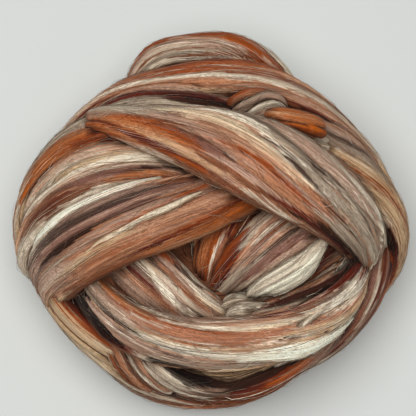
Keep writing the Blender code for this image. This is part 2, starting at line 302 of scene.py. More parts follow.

# Streaks that show in each lap, in the order they were laid.
# Columns: colour, width (mm), then points in hundredths: the place along the lap, from
# 0 to 100, and round its section: 0 at the outer crest, 100 and -100 at its edges and
# 200 at its inner side.
# The darkest streaks are painted shade, where the wool dives into holes and under other laps.
STREAKS = {
    "back_lobe": (
        ("rust", 9, (30, 45), (37, 28), (44, 20)), ("rust", 5, (36, 36), (46, 36), (54, 32)),
        ("rust", 12, (50, 24), (58, 30), (66, 62), (70, 100)), ("orange", 5, (52, 35), (58, 45), (64, 80)),
        ("maroon", 4, (60, 10), (65, 40), (69, 75)),
        ("greyrose", 7, (32, 64), (44, 62), (56, 74), (60, 85)), ("putty", 4, (34, 75), (46, 72), (58, 84)),
        ("rosy", 3, (40, 52), (50, 50), (58, 62)), ("cream", 1.5, (36, 66), (48, 64), (58, 78)),
        ("chestnut", 1.8, (34, 86), (48, 84), (58, 95)), ("silver", 2.5, (34, 98), (46, 98), (54, 98)),
        ("chestnut", 3, (46, 106), (54, 106), (60, 106)), ("brown_shade", 3, (32, 120), (45, 120), (58, 120)),
    ),
    "upper_arc": (
        ("taupe", 6, (22, -50), (32, -45)), ("rosewood", 5, (24, -20), (30, -25)),
        ("rust", 13, (32, -22), (38, -28), (44, -45), (48, -60)),
        ("maroon", 3, (33, -20), (39, -26), (44, -48)), ("copper", 3, (42, -14), (48, -34), (54, -45)),
        ("rosy", 5, (44, -5), (50, -20), (56, -32)), ("rust", 5, (26, 2), (34, 7), (40, 4), (45, -6)),
        ("chestnut", 1.5, (42, 5), (50, -2), (57, -16)), ("chestnut", 2, (36, 16), (43, 14), (50, 6)),
        ("taupe", 3, (48, 12), (56, 0)), ("rosewood", 6, (30, 42), (42, 46), (52, 40), (62, 20)),
        ("copper", 1.5, (28, 28), (34, 42), (38, 48)), ("greyrose", 3, (44, 55), (52, 50), (60, 30)),
        ("putty", 3, (26, 12), (32, 22), (43, 30), (58, 10)), ("cream", 1.6, (28, 16), (36, 28), (48, 27)),
        ("tan", 4, (34, 66), (37, 76)), ("chestnut", 5, (38, 62), (44, 72), (50, 75)),
        ("maroon", 3, (50, 72), (56, 52), (62, 34)), ("brown_shade", 2.5, (50, 85), (57, 58), (63, 32)),
        ("putty", 6, (60, 10), (67, -2), (73, 0)), ("char", 1.5, (62, 22), (68, 8), (74, -8)),
        ("tan", 4, (69, 10), (75, 8), (82, 30)), ("maroon", 2.5, (18, 42), (24, 46)),
        ("putty", 5, (8, 5), (15, 10), (20, 10)),
    ),
    "silver_arc": (
        ("silver", 8, (44, -28), (52, -28), (58, -15), (66, 5), (78, 34)),
        ("putty", 4, (40, -12), (46, -20), (52, -26), (60, -8), (72, 25)),
        ("taupe", 1.2, (48, -10), (60, 0), (72, 15)), ("char", 1.2, (62, 15), (72, 32), (80, 38)),
        ("copper", 10, (34, 20), (40, 15), (48, 18), (56, 30)), ("orange", 3, (33, 38), (38, 40), (44, 34)),
        ("orange", 3.5, (42, 8), (49, 12), (56, 32)), ("copper", 4, (40, 55), (47, 52), (53, 62)),
        ("putty", 4, (30, 38), (34, 30), (40, 4), (45, -12)),
        ("rust", 8, (46, 22), (53, 38), (58, 68), (62, 95)), ("maroon", 3, (49, 30), (54, 45), (60, 80)),
        ("peach", 1.5, (38, 12), (45, 24), (50, 34)), ("rosy", 5, (60, -72), (68, -48), (78, -28)),
        ("copper", 2, (72, -55), (80, -42), (88, -30)),
        ("maroon", 5, (60, -52), (68, -26), (76, 4), (88, 12)),
        ("black_shade", 3.5, (61, -52), (69, -22), (78, 10), (92, 18)),
        ("brown_shade", 3, (74, 12), (80, 26), (88, 26)), ("greyrose", 3, (80, 42), (88, 40)),
        ("putty", 4, (24, 42), (29, 38), (33, 30)), ("tan", 3, (27, 60), (32, 65)),
        ("rosy", 4, (20, 18), (27, 15)),
    ),
    "right_shoulder": (
        ("rosy", 6, (17, -10), (24, -35), (30, -55)), ("greyrose", 4, (20, 5), (27, -25), (34, -50)),
        ("silver", 6, (24, 25), (34, -2), (43, -25)), ("char", 4, (20, 14), (27, 2), (33, -18), (38, -36)),
        ("maroon", 5, (16, -40), (20, -30), (22, -25)), ("char", 1.2, (28, 14), (36, -8), (42, -20)),
        ("tan", 9, (42, 48), (54, 40), (66, 38), (78, 60)),
        ("tan", 7, (27, 38), (36, 20), (45, -2), (53, -10)), ("cream", 1.8, (30, 28), (38, 10), (46, -10)),
        ("copper", 2, (33, 40), (42, 25), (50, 5)), ("umber", 2, (24, 52), (34, 48), (42, 50)),
        ("umber", 3, (21, 28), (27, 22), (33, 12)), ("peach", 3, (50, 20), (60, 20), (68, 25)),
        ("rust", 3, (36, 46), (44, 35), (52, 22), (58, 12)), ("rust", 6, (64, 100), (72, 92), (78, 100)),
        ("maroon", 9, (60, 66), (66, 66), (72, 76)), ("rust", 6, (70, 62), (76, 72), (82, 80)),
        ("black_shade", 6, (54, 90), (60, 80), (66, 78)),
    ),
    "right_under": (
        ("rust", 14, (28, 80), (48, 55), (66, 45)), ("maroon", 6, (38, 30), (54, 10)),
        ("rosy", 2.5, (56, 85), (64, 60)),
    ),
    "left_upper_sash": (
        ("copper", 5, (33, -46), (42, -54), (50, -56)), ("maroon", 6, (47, -68), (53, -66), (60, -48)),
        ("rust", 3, (46, -62), (52, -60), (58, -48)),
        ("rosy", 5, (28, -25), (38, -30), (52, -28), (62, -20)),
        ("putty", 2, (32, -20), (48, -24), (60, -18)), ("umber", 1, (38, -12), (52, -16)),
        ("taupe", 1, (32, -34), (44, -38), (54, -36)),
        ("cream", 3, (27, 2), (36, 6), (46, 3), (62, -8), (70, -16)),
        ("putty", 2.5, (48, 12), (56, 10), (66, 0)), ("tan", 2.5, (44, -8), (54, -12), (62, -18)),
        ("umber", 1.5, (32, 14), (42, 16)), ("mauve", 4, (42, 22), (56, 20), (66, 10)),
        ("rosewood", 5, (22, 10), (27, 15)), ("chestnut", 11, (26, 32), (33, 40), (44, 34)),
        ("maroon", 5, (30, 36), (35, 38), (40, 34)), ("chestnut", 3, (40, 42), (50, 36), (60, 30)),
        ("brown_shade", 2.5, (45, 24), (53, 20), (62, 18), (72, 2)),
        ("cream", 6, (25, 70), (34, 72), (46, 60), (56, 50), (66, 40)),
        ("putty", 7, (8, 50), (16, 60), (24, 58)), ("peach", 5, (15, 12), (20, 12)),
        ("copper", 4, (56, 32), (64, 26), (72, 20)), ("maroon", 2, (64, 34), (72, 26)),
    ),
    "left_sash": (
        ("rosewood", 9, (18, -25), (32, -34), (46, -45), (60, -50)),
        ("mauve", 5, (30, 36), (40, 22), (52, 18), (64, 15)),
        ("greyrose", 4, (34, 10), (46, -5), (60, -12)), ("rosy", 4, (24, -12), (34, -22), (46, -34)),
        ("copper", 9, (16, -75), (24, -78), (38, -84)), ("orange", 7, (10, -55), (17, -55), (24, -68)),
        # The peach streak next below, along the lower edge, is partly painted light: orange wool made
        # lighter against the crease shade there.
        ("peach", 3, (20, -82), (28, -84), (38, -88)), ("rust", 3, (12, -95), (18, -98), (26, -102)),
        ("taupe", 4, (6, -98), (11, -96), (16, -98)), ("chestnut", 6, (42, -88), (54, -80), (64, -70)),
        ("maroon", 3, (42, -84), (50, -86), (56, -80)), ("chestnut", 5, (15, 20), (22, 34), (28, 48)),
        ("rosy", 2, (20, 48), (28, 60), (34, 58)), ("char", 6, (33, 36), (46, 30), (58, 28), (70, 26)),
        ("greyrose", 2, (36, 26), (48, 20), (60, 18)), ("ivory", 8, (37, 76), (48, 74), (60, 68), (68, 64)),
        ("taupe", 3, (36, 50), (46, 50), (56, 46)), ("putty", 4, (66, 45), (76, 45)),
        ("char", 2.5, (32, 20), (44, 12), (52, 8)), ("brown_shade", 3, (46, 12), (54, 7), (66, 5)),
        ("rust", 2.5, (22, 22), (32, 6), (40, -6)), ("chestnut", 1.5, (30, -40), (44, -56), (58, -62)),
        ("rust", 5, (16, -34), (24, -38), (32, -52)),
        ("maroon", 2.8, (16, -34), (24, -38), (31, -50), (42, -66)), ("rust", 3, (42, -44), (52, -46)),
        ("tan", 4, (44, -24), (54, -30), (68, -34)), ("greyrose", 9, (60, -30), (70, -30), (80, -30)),
        ("putty", 3, (56, -32), (66, -30), (74, -28)), ("silver", 3, (64, -15), (76, -10)),
        ("umber", 2.5, (58, -55), (66, -52), (74, -50)), ("chestnut", 4, (60, -85), (68, -90), (74, -95)),
        ("peach", 4, (74, -48), (80, -42), (86, -40)), ("tan", 3, (70, -75), (78, -80), (86, -90)),
    ),
    "diagonal": (
        ("silver", 12, (2, -25), (9, -42), (18, -52), (26, -62)),
        ("putty", 4, (6, -30), (14, -42), (22, -48)), ("copper", 6, (8, 15), (18, 18), (28, 30)),
        ("chestnut", 4, (42, 46), (47, 54), (52, 60)), ("rust", 5, (9, -2), (18, 0), (27, 12), (36, 26)),
        ("chestnut", 2.5, (13, -16), (22, -14), (30, 2), (38, 20)),
        ("greyrose", 4.5, (22, -30), (30, -15), (40, 10)), ("copper", 5, (6, 60), (16, 68)),
        ("rust", 5, (4, 75), (10, 80), (16, 85)), ("maroon", 2.5, (9, 40), (16, 45), (26, 58), (34, 66)),
        ("peach", 3.5, (18, 24), (27, 40), (35, 52), (42, 60)), ("rust", 3, (26, 62), (36, 72), (44, 80)),
        ("chestnut", 8, (36, 82), (42, 85), (49, 95)), ("maroon", 3, (38, 70), (44, 78), (50, 92)),
        ("putty", 6, (20, 90), (25, 92), (29, 95)), ("mauve", 4, (28, 5), (37, 24), (47, 42)),
        ("char", 1.8, (28, 0), (37, 18), (47, 36)), ("rust", 1.2, (34, 30), (40, 40), (46, 48)),
        ("putty", 6, (54, 75), (58, 95)), ("greyrose", 3, (42, 36), (50, 46), (56, 55)),
        ("rosy", 5, (33, -18), (42, -4), (50, 10)), ("greyrose", 3.5, (34, 2), (42, 18), (50, 30)),
        ("terracotta", 3, (38, 8), (48, 20), (58, 36)), ("rosewood", 5, (48, 32), (57, 44), (64, 52)),
        ("greyrose", 3, (54, 16), (61, 28), (68, 42)), ("chestnut", 5, (60, 40), (66, 47), (72, 54)),
        ("rust", 3.2, (43, 8), (52, 18), (66, 38)), ("maroon", 1, (38, 10), (46, 16), (54, 24), (66, 42)),
        ("peachcream", 5, (26, -44), (36, -34), (45, -18), (57, 11)),
        ("cream", 4.5, (27, -60), (36, -56), (45, -40), (55, -10)),
        ("rosy", 1.5, (28, -52), (38, -44), (48, -24)),
        ("silver", 5, (38, -62), (48, -44), (58, -14), (66, 10)),
        ("char", 1.8, (36, -64), (46, -50), (56, -22), (62, -4)),
        ("putty", 1.8, (48, -20), (56, 0), (64, 18)), ("char", 3, (51, -20), (60, 2), (67, 24), (76, 48)),
        ("greyrose", 8, (50, -60), (62, -45), (74, -20)),
        ("putty", 4, (50, -70), (62, -58), (74, -40), (82, -15)),
        ("cream", 1.8, (56, -50), (66, -36), (76, -10)), ("silver", 10, (62, -5), (72, 12), (85, 30)),
        ("char", 2, (54, -36), (62, -18), (70, 5)), ("silver", 7, (67, 42), (75, 52), (86, 66)),
        ("putty", 3, (68, 10), (76, 22), (84, 40)), ("char", 1.8, (68, 42), (72, 48), (78, 58)),
        ("rust", 1.6, (50, -62), (54, -56), (58, -50)), ("char", 1.2, (62, -26), (72, 0), (82, 24)),
        ("putty", 2, (66, -8), (75, 12), (84, 32)), ("umber", 2.5, (53, -85), (64, -76), (74, -66)),
        ("cream", 2.2, (76, -45), (81, -28), (85, 0), (88, 45)),
        ("brown_shade", 5, (64, 74), (70, 72), (77, 74), (86, 85)),
        ("maroon", 4, (58, 60), (65, 68), (72, 85), (78, 105)), ("black_shade", 5, (68, 70), (77, 80), (86, 92)),
    ),
    "inner_left": (
        ("greyrose", 6, (19, 20), (34, 25), (50, 10)), ("rosewood", 3, (26, 8), (38, 10), (50, 2)),
        ("rosewood", 3, (40, -50), (50, -50), (62, -48)), ("maroon", 2.8, (22, -6), (30, -4), (38, -6)),
        ("chestnut", 3, (36, 0), (44, 2), (50, 0)), ("putty", 3, (36, -34), (48, -34), (60, -30)),
        ("rosy", 2, (38, -36), (46, -32), (52, -28)), ("cream", 2.5, (53, -14), (58, -14), (64, -18)),
        ("cream", 2.8, (26, -34), (33, -31), (40, -20), (50, -12)), ("char", 0.9, (30, -42), (44, -40)),
        ("tan", 2, (25, -34), (30, -33), (35, -31)), ("greyrose", 2.2, (38, -28), (44, -27), (50, -22)),
        ("rosewood", 3, (20, 14), (26, 17), (32, 18)), ("greyrose", 3, (32, 40), (38, 39), (44, 34)),
        ("chestnut", 1.5, (42, -44), (52, -48), (60, -44)), ("rust", 7, (28, -70), (33, -82), (38, -95)),
        ("greyrose", 4, (38, -68), (46, -66), (56, -62)), ("maroon", 1.5, (37, -58), (42, -60), (46, -56)),
        ("cream", 3, (42, -62), (48, -74), (56, -76), (70, -74)),
        ("peachcream", 3, (56, -66), (64, -64), (76, -70)), ("putty", 3, (60, -88), (68, -88), (76, -85)),
        ("chestnut", 4, (36, -100), (42, -98)), ("brown_shade", 3, (42, -88), (50, -92), (55, -102)),
        ("black_shade", 6, (43, -100), (50, -106), (60, -124)), ("terracotta", 3, (60, -100), (70, -110)),
    ),
    "centre_fan": (
        ("peach", 7, (12, -54), (20, -58), (32, -78)), ("greyrose", 5, (30, 2), (44, -2), (60, -10)),
        ("mauve", 4, (32, 12), (46, 8), (62, 0)), ("rust", 4, (20, -50), (30, -56), (40, -74)),
        ("maroon", 7, (17, -18), (23, -22), (28, -36), (36, -56)),
        ("terracotta", 3, (22, -48), (28, -54), (34, -66)),
        ("rosewood", 3, (15, -46), (20, -48), (26, -51)),
        ("cream", 5, (31, -18), (36, -30), (42, -42), (50, -50)),
        # This ivory is cream wool painted lighter: painted light against the crease shade that falls here.
        ("ivory", 13, (45, -56), (52, -56), (60, -54), (70, -58)),
        ("cream", 3, (46, -40), (56, -44), (66, -46)),
        ("putty", 3, (28, -4), (36, -18), (46, -28), (60, -34)),
        ("umber", 1.4, (30, 0), (42, -12), (54, -20)), ("putty", 3, (56, -6), (64, -10), (72, -16)),
        ("maroon", 1, (34, 8), (46, 2), (60, -4)), ("char", 2, (33, 25), (44, 18), (56, 14)),
        ("rosy", 3, (36, 30), (46, 24), (58, 20)), ("chestnut", 3, (34, 48), (40, 42), (46, 36)),
        ("rosy", 4, (42, 60), (52, 48), (62, 30)), ("putty", 5, (42, 70), (50, 58), (57, 46)),
        ("cream", 2, (43, 50), (50, 45), (56, 36)), ("putty", 4, (42, 95), (50, 90), (55, 80)),
        ("brown_shade", 4, (54, 92), (58, 84), (62, 80)), ("rust", 9, (58, 78), (66, 66), (80, 56)),
        ("maroon", 6, (58, 58), (66, 44), (80, 36)), ("rust", 2, (60, 46), (70, 36)),
        ("taupe", 2, (52, 20), (66, 10)),
    ),
    "well_strand": (
        ("copper", 6, (38, 15), (50, 20), (66, 30)), ("terracotta", 5, (36, -22), (50, -20), (70, -15)),
        ("rust", 4, (30, -32), (42, -38), (60, -32)), ("rust", 3, (40, 5), (52, 10), (70, 10)),
        ("maroon", 3, (20, -30), (30, -30), (38, -18)), ("cream", 2, (38, -12), (48, -9), (62, -4)),
        ("maroon", 3, (60, 25), (68, 22), (78, 15)), ("brown_shade", 5, (44, 75), (52, 72), (60, 85)),
        ("brown_shade", 1.2, (44, 32), (54, 40)), ("tan", 2, (38, 42), (46, 60)),
    ),
    "lower_crescent": (
        ("greyrose", 6, (11, -65), (20, -55), (30, -40)), ("silver", 3, (12, -45), (22, -38), (30, -25)),
        ("copper", 6, (12, -108), (17, -102), (23, -92)), ("umber", 3, (21, -108), (28, -98)),
        ("chestnut", 3, (31, -96), (36, -94), (42, -100)), ("taupe", 4, (32, -112), (38, -105)),
        ("greyrose", 5, (40, -115), (52, -105), (60, -85)),
        ("terracotta", 5, (33, -46), (46, -38), (60, -28)),
        ("terracotta", 6, (23, -66), (34, -66), (46, -56), (60, -38)),
        ("rust", 1.8, (26, -72), (36, -70), (48, -60), (56, -48)),
        ("copper", 1.5, (34, -34), (44, -28), (54, -22)), ("cream", 3.5, (39, -86), (46, -82), (54, -76)),
        ("rosy", 5, (44, -98), (54, -82), (64, -62)),
        ("putty", 4, (48, -74), (56, -66), (66, -50), (73, -36)),
        ("peachcream", 2, (50, -68), (58, -56), (68, -40)),
        ("maroon", 3, (54, -108), (60, -90), (66, -74), (70, -64)),
        ("chestnut", 3.5, (62, -66), (68, -57), (73, -50)), ("greyrose", 3, (68, -78), (76, -62)),
        ("cream", 5, (33, -20), (42, -8), (50, 5), (56, 15)),
        ("greyrose", 4, (14, -20), (26, -5), (38, 15), (50, 30)),
        ("char", 1.8, (13, -44), (24, -28), (34, -12), (46, 8)),
        ("char", 1.6, (17, -24), (26, -10), (38, 10), (48, 24)),
        ("cream", 0.9, (18, -18), (28, 0), (40, 20), (54, 35)), ("silver", 4, (38, 26), (46, 34), (54, 40)),
        ("maroon", 6, (16, 45), (22, 42), (28, 48)), ("black_shade", 16, (4, 5), (12, 10), (18, 24), (22, 42)),
        ("chestnut", 6, (25, 46), (28, 50)), ("putty", 4, (31, 46), (34, 50)),
        ("black_shade", 9, (36, 50), (41, 55), (46, 66)), ("tan", 4, (45, 52), (55, 62)),
        ("umber", 2.5, (51, 24), (55, 32), (58, 42)), ("ivory", 9, (58, 12), (63, 18), (69, 38), (75, 60)),
        ("rosy", 3, (52, -12), (60, -8), (66, -4)), ("ivory", 9, (58, 22), (64, 42), (71, 70)),
        ("tan", 4, (66, -20), (74, 5), (82, 35)), ("char", 1.2, (64, -12), (70, 8), (76, 36), (82, 65)),
        ("terracotta", 3, (68, -24), (74, -6), (80, 15)), ("cream", 6, (79, -24), (83, -14), (88, 2)),
        ("umber", 3, (71, -62), (76, -46), (80, -36)), ("silver", 3, (76, -30), (82, -15), (88, 0)),
        ("maroon", 5, (80, -62), (86, -48), (92, -32)), ("maroon", 4, (87, -14), (92, 0)),
        ("black_shade", 7, (72, -98), (80, -86), (92, -68)),
    ),
    "inner_hem": (
        ("maroon", 3, (40, 68), (52, 62), (60, 62)), ("brown_shade", 2, (30, 75), (44, 80)),
        ("rosewood", 3, (20, 95), (32, 95), (42, 98)), ("cream", 4, (42, 115), (55, 110), (68, 118)),
    ),
    "under_crescent": (
        ("putty", 6, (20, -40), (30, -32), (42, -30)), ("cream", 2.2, (22, -48), (30, -44), (40, -36)),
        ("putty", 5, (26, 0), (34, 8), (42, 20)), ("taupe", 1, (26, -15), (36, -10), (44, 0)),
        ("umber", 5, (42, -30), (48, -30), (52, -38)), ("brown_shade", 5, (52, -36), (58, -44), (64, -56)),
        ("brown_shade", 8, (44, -80), (58, -75), (72, -70)), ("black_shade", 11, (26, -82), (36, -74), (48, -72)),
        ("char", 1.5, (44, -55), (56, -62)), ("taupe", 1.5, (48, -40), (58, -50)),
        ("tan", 5, (44, -105), (54, -100), (62, -100), (70, -100)),
        ("rust", 8, (60, 5), (68, -15), (78, -30)), ("maroon", 6, (56, -8), (63, -28), (70, -44)),
        ("rosewood", 3, (66, -20), (76, -38)), ("cream", 3, (72, -88), (80, -66), (90, -42)),
        ("taupe", 6, (76, -15), (84, -22), (94, -25)), ("char", 2, (78, -2), (88, -15), (96, -30)),
    ),
    "lower_brown": (
        ("umber", 7, (32, -45), (40, -45), (46, -50)), ("brown_shade", 2, (34, -35), (42, -30)),
        ("maroon", 4, (44, -62), (53, -65), (62, -60)), ("rust", 6, (43, -40), (54, -45), (64, -42)),
        ("rust", 4, (42, 0), (52, 2)), ("greyrose", 4, (55, -15), (62, -30), (70, -15)),
        ("brown_shade", 4, (65, -42), (72, -40), (90, -85)),
        ("greyrose", 1.8, (66, -15), (78, 2), (86, -18), (98, -85)),
        ("chestnut", 2, (76, 0), (86, 5), (98, -60)),
    ),
    "lower_left_tan": (
        ("tan", 10, (24, -100), (38, -82), (52, -78)), ("cream", 3, (28, -75), (38, -64), (50, -62)),
        ("copper", 1.5, (32, -95), (42, -100), (50, -102)), ("putty", 6, (48, -70), (58, -72), (66, -58)),
        ("umber", 1.2, (50, -62), (64, -75)), ("char", 4, (58, -100), (66, -92), (74, -88)),
        ("rust", 4, (68, -75), (78, -78), (88, -78)),
    ),
    "bottom_rust": (
        ("taupe", 5, (8, -85), (20, -80), (32, -90)), ("putty", 2, (12, -72), (24, -70), (34, -75)),
        ("rosewood", 3, (28, -82), (38, -80), (46, -78)), ("rust", 6, (36, -100), (46, -98), (58, -92)),
        ("copper", 3, (44, -78), (54, -80), (64, -88)), ("greyrose", 5, (60, -95), (70, -98), (82, -85)),
        ("cream", 1.4, (62, -85), (74, -88), (88, -75)), ("umber", 2.5, (74, -110), (82, -115), (92, -100)),
    ),
    "fan_strand": (
        ("ivory", 3.5, (30, -10), (50, -10), (80, 0)), ("putty", 1.5, (35, 60), (55, 60), (85, 50)),
        ("taupe", 0.9, (45, 25), (60, 25), (80, 20)),
    ),
    "orange_tuck": (
        ("copper", 8, (10, -15), (45, -20), (90, -15)), ("peach", 1.2, (15, 0), (50, -5), (90, 0)),
        ("chestnut", 2.5, (12, -70), (50, -75), (90, -70)), ("orange", 6, (10, 80), (50, 75), (95, 70)),
        ("brown_shade", 1, (15, 42), (50, 40), (95, 40)),
    ),
    "tuck_strand_1": (
        ("rust", 3, (10, 20), (40, -5), (70, -20)), ("rosewood", 3, (30, 60), (60, 50), (90, 40)),
    ),
    "hem_fleece": (
        ("greyrose", 3, (30, 5), (50, 10), (70, 20), (88, 60)),
        ("silver", 3, (36, 22), (50, 28), (66, 40), (82, 60)), ("taupe", 1, (40, 15), (60, 30)),
        ("maroon", 4, (18, 85), (35, 85), (58, 95)),
        ("brown_shade", 3.5, (14, 62), (30, 60), (45, 68), (60, 78)),
        ("rosewood", 2.5, (15, 118), (30, 120), (45, 125)), ("peach", 1, (28, 134), (50, 140)),
    ),
    "fall_strand_1": (
        ("rust", 1.8, (20, 10), (50, 15), (85, 10)), ("rosewood", 4, (10, -35), (50, -30), (85, -35)),
        ("brown_shade", 1.5, (15, -85), (50, -80), (80, -80)),
    ),
    "fall_strand_2": (
        ("rosy", 3, (10, -40), (50, -35), (85, -30)), ("chestnut", 3, (15, 30), (50, 25), (90, 10)),
        ("cream", 0.9, (20, 5), (55, 0), (90, -10)),
    ),
    "fall_strand_3": (
        ("chestnut", 3, (15, -45), (50, -45), (90, -40)), ("umber", 2, (15, -10), (50, -15), (90, -15)),
        ("peach", 1.2, (20, 15), (55, 15), (90, 10)), ("brown_shade", 2, (15, 70), (50, 65), (90, 60)),
    ),
    "turn_2": (
        ("copper", 4, (42, -62), (52, -55)), ("tan", 6, (40, -25), (54, -25)),
    ),
    "turn_3": (
        ("tan", 8, (10, -25), (18, -20), (26, -10)), ("copper", 1.5, (12, -45), (26, -40)),
    ),
    "turn_4": (
        ("maroon", 10, (14, -40), (19, -45), (26, -45)), ("rust", 4, (15, -15), (20, -22), (26, -30)),
        ("umber", 4, (5, -2), (11, -20), (16, -35)), ("mauve", 4, (5, -45), (11, -72), (17, -98)),
        ("char", 2.5, (5, -60), (11, -88), (16, -108)),
        ("putty", 2, (7, -22), (12, -50), (17, -75), (22, -88)), ("cream", 1, (8, -20), (13, -48)),
    ),
    "turn_6": (
        ("tan", 12, (11, -58), (19, -52), (27, -38)), ("putty", 3, (13, -55), (21, -50)),
        ("copper", 2.5, (12, -28), (20, -26)), ("black_shade", 10, (12, -132), (20, -124), (28, -108)),
        ("rust", 4, (12, -92), (20, -86), (28, -74)), ("maroon", 3, (12, -104), (20, -100), (28, -86)),
    ),
}

# Points of the fine curve from which the wool of a band is laid out.
LAP_STEPS = 288
TURN_STEPS = 384

# Places round a section, from its inner seam round to its inner seam: 0 at the outer
# crest, 1 and -1 at its edges.
ROUND = np.linspace(-2.0, 2.0, 401)
WISP_REACH = 1.4    # wisps lie this far round it at most
INNER_FROM = 1.3    # columns get wider from here
INNER_TO = 1.5      # to here, on the hidden inner side
INNER_SHARE = 0.2   # how densely they lie there

# Ends of the laps and the ball's flat spot (mm).
END_ROUNDING = 7.0                   # length over which a lap's end is rounded off
BLUNT_ENDS = {"orange_tuck": 2.5}    # the same for the one whose ends show
END_CLOSING = 0.98                   # how far the rounding goes, as a part
FLAT_SOFTNESS = 1.2                  # softening of the flat spot's rim

# Streaks, painted over the slivers.
STREAK_FADE = 0.13         # part of a lap over which one thins out at each end
STREAK_ROUNDING = 2.5      # rows over which its course is rounded
STREAK_FOOT = 1.0          # its foot, above those of the slivers (mm)
STREAK_RISE = 0.6          # its rise, in sliver rises
STREAK_RISE_PER_MM = 0.1   # and its further rise for each mm of width
STREAK_STEP = 0.012        # how much higher each lies than the one before (mm)

# Depth of the dark streaks, which lie in creases (mm). The two darkest are painted shade there: one alone,
# one over brown wool.
SUNK = {"black_shade": 2.6, "brown_shade": 1.6, "maroon": 0.6, "char": 0.5}
SUNK_EASE = 0.8            # part of it that is lost where another strand lies close
DEEP = 1.0                 # depth from which one keeps mostly its own colour (mm)
DEEP_OWN = 0.75            # and how much of it

# Turn of the fibres round a lap.
LAY_REST = 0.5             # weight of no turn, beside the streaks' widths (mm)
LAY_ROUNDING = 6.0         # rows over which it is rounded
LAY_LIMIT = 1.3            # most that they turn, in places round the section

# Slivers, blended at random. Lengths and places are parts of the lap and its girth.
SLIVER_LENGTHS = (0.5, 1.2)
SLIVER_OVERHANG = 0.4      # how far one may lie past the lap's ends
SLIVER_FADE = 0.25         # part over which it thins out
SLIVER_DRIFT = 0.05        # most that it drifts across the lap
SLIVER_WAVE = 0.012        # most that it waves
SLIVER_PACE = 6            # how fast it waves
SLIVER_SPREAD = 0.4        # spread of the widths
SLIVER_FEET = (0.0, 0.3)   # range of feet (mm)
SLIVER_RISE = 0.4          # as STREAK_RISE
SLIVER_RISE_PER_MM = 0.08
SLIVER_TONES = (0.84, 1.12)
FIRST_COLOURS = 1.25       # how much commoner the first colours of a blend are
TURN_COLOURS = 5           # colours of a blend that one plain turn has

# Strands of both kinds.
FULL_TURN = 6.28           # about a full turn, within which a wave starts (radians)
THINNEST = 0.05            # half width that one tapers to (mm)
HIDDEN = -9.0              # foot that hides it where it has run out (mm)
SIDE_FALL = 2.5            # how much faster its sides fall off than its crown
APART = 0.4                # height by which two lie clearly apart (mm)
WOOL_LEVEL = 0.9           # height in the pile that lies on the lap's section (mm)

# Smooth noise over the wool: its place in the run of seeds, its cells across and along
# the fibres (mm), and its strength. Frays are in mm across the fibres, the swell and
# ripple in mm of height, the tone and the vein in parts.
NOISE_GRID = 64
NOISES = {
    "fray": (1, 2.6, 45.0, 0.7),
    "fine_fray": (2, 1.1, 30.0, 0.3),
    "tone": (3, 1.5, 60.0, 0.10),
    "swell": (4, 8.0, 70.0, 0.6),
    "ripple": (5, 1.6, 35.0, 0.15),
    "vein": (6, 1.3, 80.0, 1.3),
}
VEIN_FROM = 0.35           # noise from which the neighbour's colour shows in veins
VEIN_MOST = 0.5            # and its largest share

# Rays that test how far a place is shut in. They fan out by about the golden angle.
CREASE_STEP = 3            # they are cast on every third row and column of the wool
CREASE_LIFT = 0.8          # height above the wool at which they start (mm)
HOLLOW_REACH = 18.0        # how far a wide hollow reaches (mm)
CREASE_REACH = 5.0         # how far a narrow crease reaches (mm)
FAR_WALL = 0.7             # how much less a wall at the hollow's reach counts
RAY_LEAN = 1.05            # how far they lean outwards
GOLDEN_ANGLE = 2.4
CREASE_RAYS = [
    (
        math.sqrt(1 - z * z) * math.cos(GOLDEN_ANGLE * k),
        math.sqrt(1 - z * z) * math.sin(GOLDEN_ANGLE * k), z,
    )
    for k, z in enumerate(np.linspace(-0.95, 0.95, 20))
]

# Shade that follows from them.
CREASE_GAIN = 2.2          # how soon a narrow crease counts in full
HOLLOW_CURVE = 0.9         # how soon a wide hollow does
DARKEST = 0.01             # part of the light that always stays
CREASE_TINT = (0.92, 1.08, 1.22)    # powers of the shade in red, green and blue

# Fine tubes laid on a band: points along each, range of lengths (mm), how far one
# strays off the fibres' lay for its length, range of lifts and its waviness (mm).
Tube = namedtuple("Tube", "steps spans stray lifts wave")
WISP = Tube(18, (50.0, 160.0), 0.035, (-0.1, 0.3), 0.2)
HAIR = Tube(10, (12.0, 38.0), 0.35, (0.1, 0.9), 0.5)
WISP_RUN = 80.0                    # length of wool to each wisp at the spacing (mm)
STRAND_FLUFF = 0.5                 # spacing on small strands, in parts of that on laps
TUBE_SIDES = 3
TUBE_SPREADS = (1.0, 0.4, 0.12)    # spread of its turn, bow and curl, as strayed
TUBE_WAVES = (1.5, 3.5)            # range of waves along it
TUBE_PACE = 5.0                    # how fast it rises and falls with them
TUBE_LONGEST = 0.8                 # longest, in parts of the band
TUBE_INSET = 0.4                   # from its middle to the band's end at least, in lengths
TUBE_TIP = 0.08                    # radius of its tips, as a part
TUBE_TAPER = 0.6                   # how soon it tapers
TUBE_RADII = (0.45, 1.0)           # range of radii, as parts
TUBE_CLOSENESS = 0.2               # how near its neighbour is, for the material
TUBE_TONE = 0.8                    # tone of the fibres that stray into it
SIDE_SPREAD = 0.3                  # how far its sides lie apart in the fine lines (mm)
OWN_SPREAD = (3.7, 1.3)            # how far one tube lies from the next in them

# Tubes in the colour of the wool under them, of its neighbour, in cream and in the
# darkest grey: running total of their shares, then range of tones.
TUBE_TINTS = ((0.70, 0.78, 1.26), (0.90, 0.85, 1.15), (0.96, 0.8, 1.05), (1.0, 0.8, 1.2))

# Seeds: the first of the turns, wisps and hairs, and steps between their bands.
TURN_SEED = 400
WISP_SEED = 300
HAIR_SEED = 50
SEED_STEP = 10

Band = namedtuple("Band", "name centres out side widths thicks place along closed")
Wool = namedtuple("Wool", "band points normals place girth sliver stray")


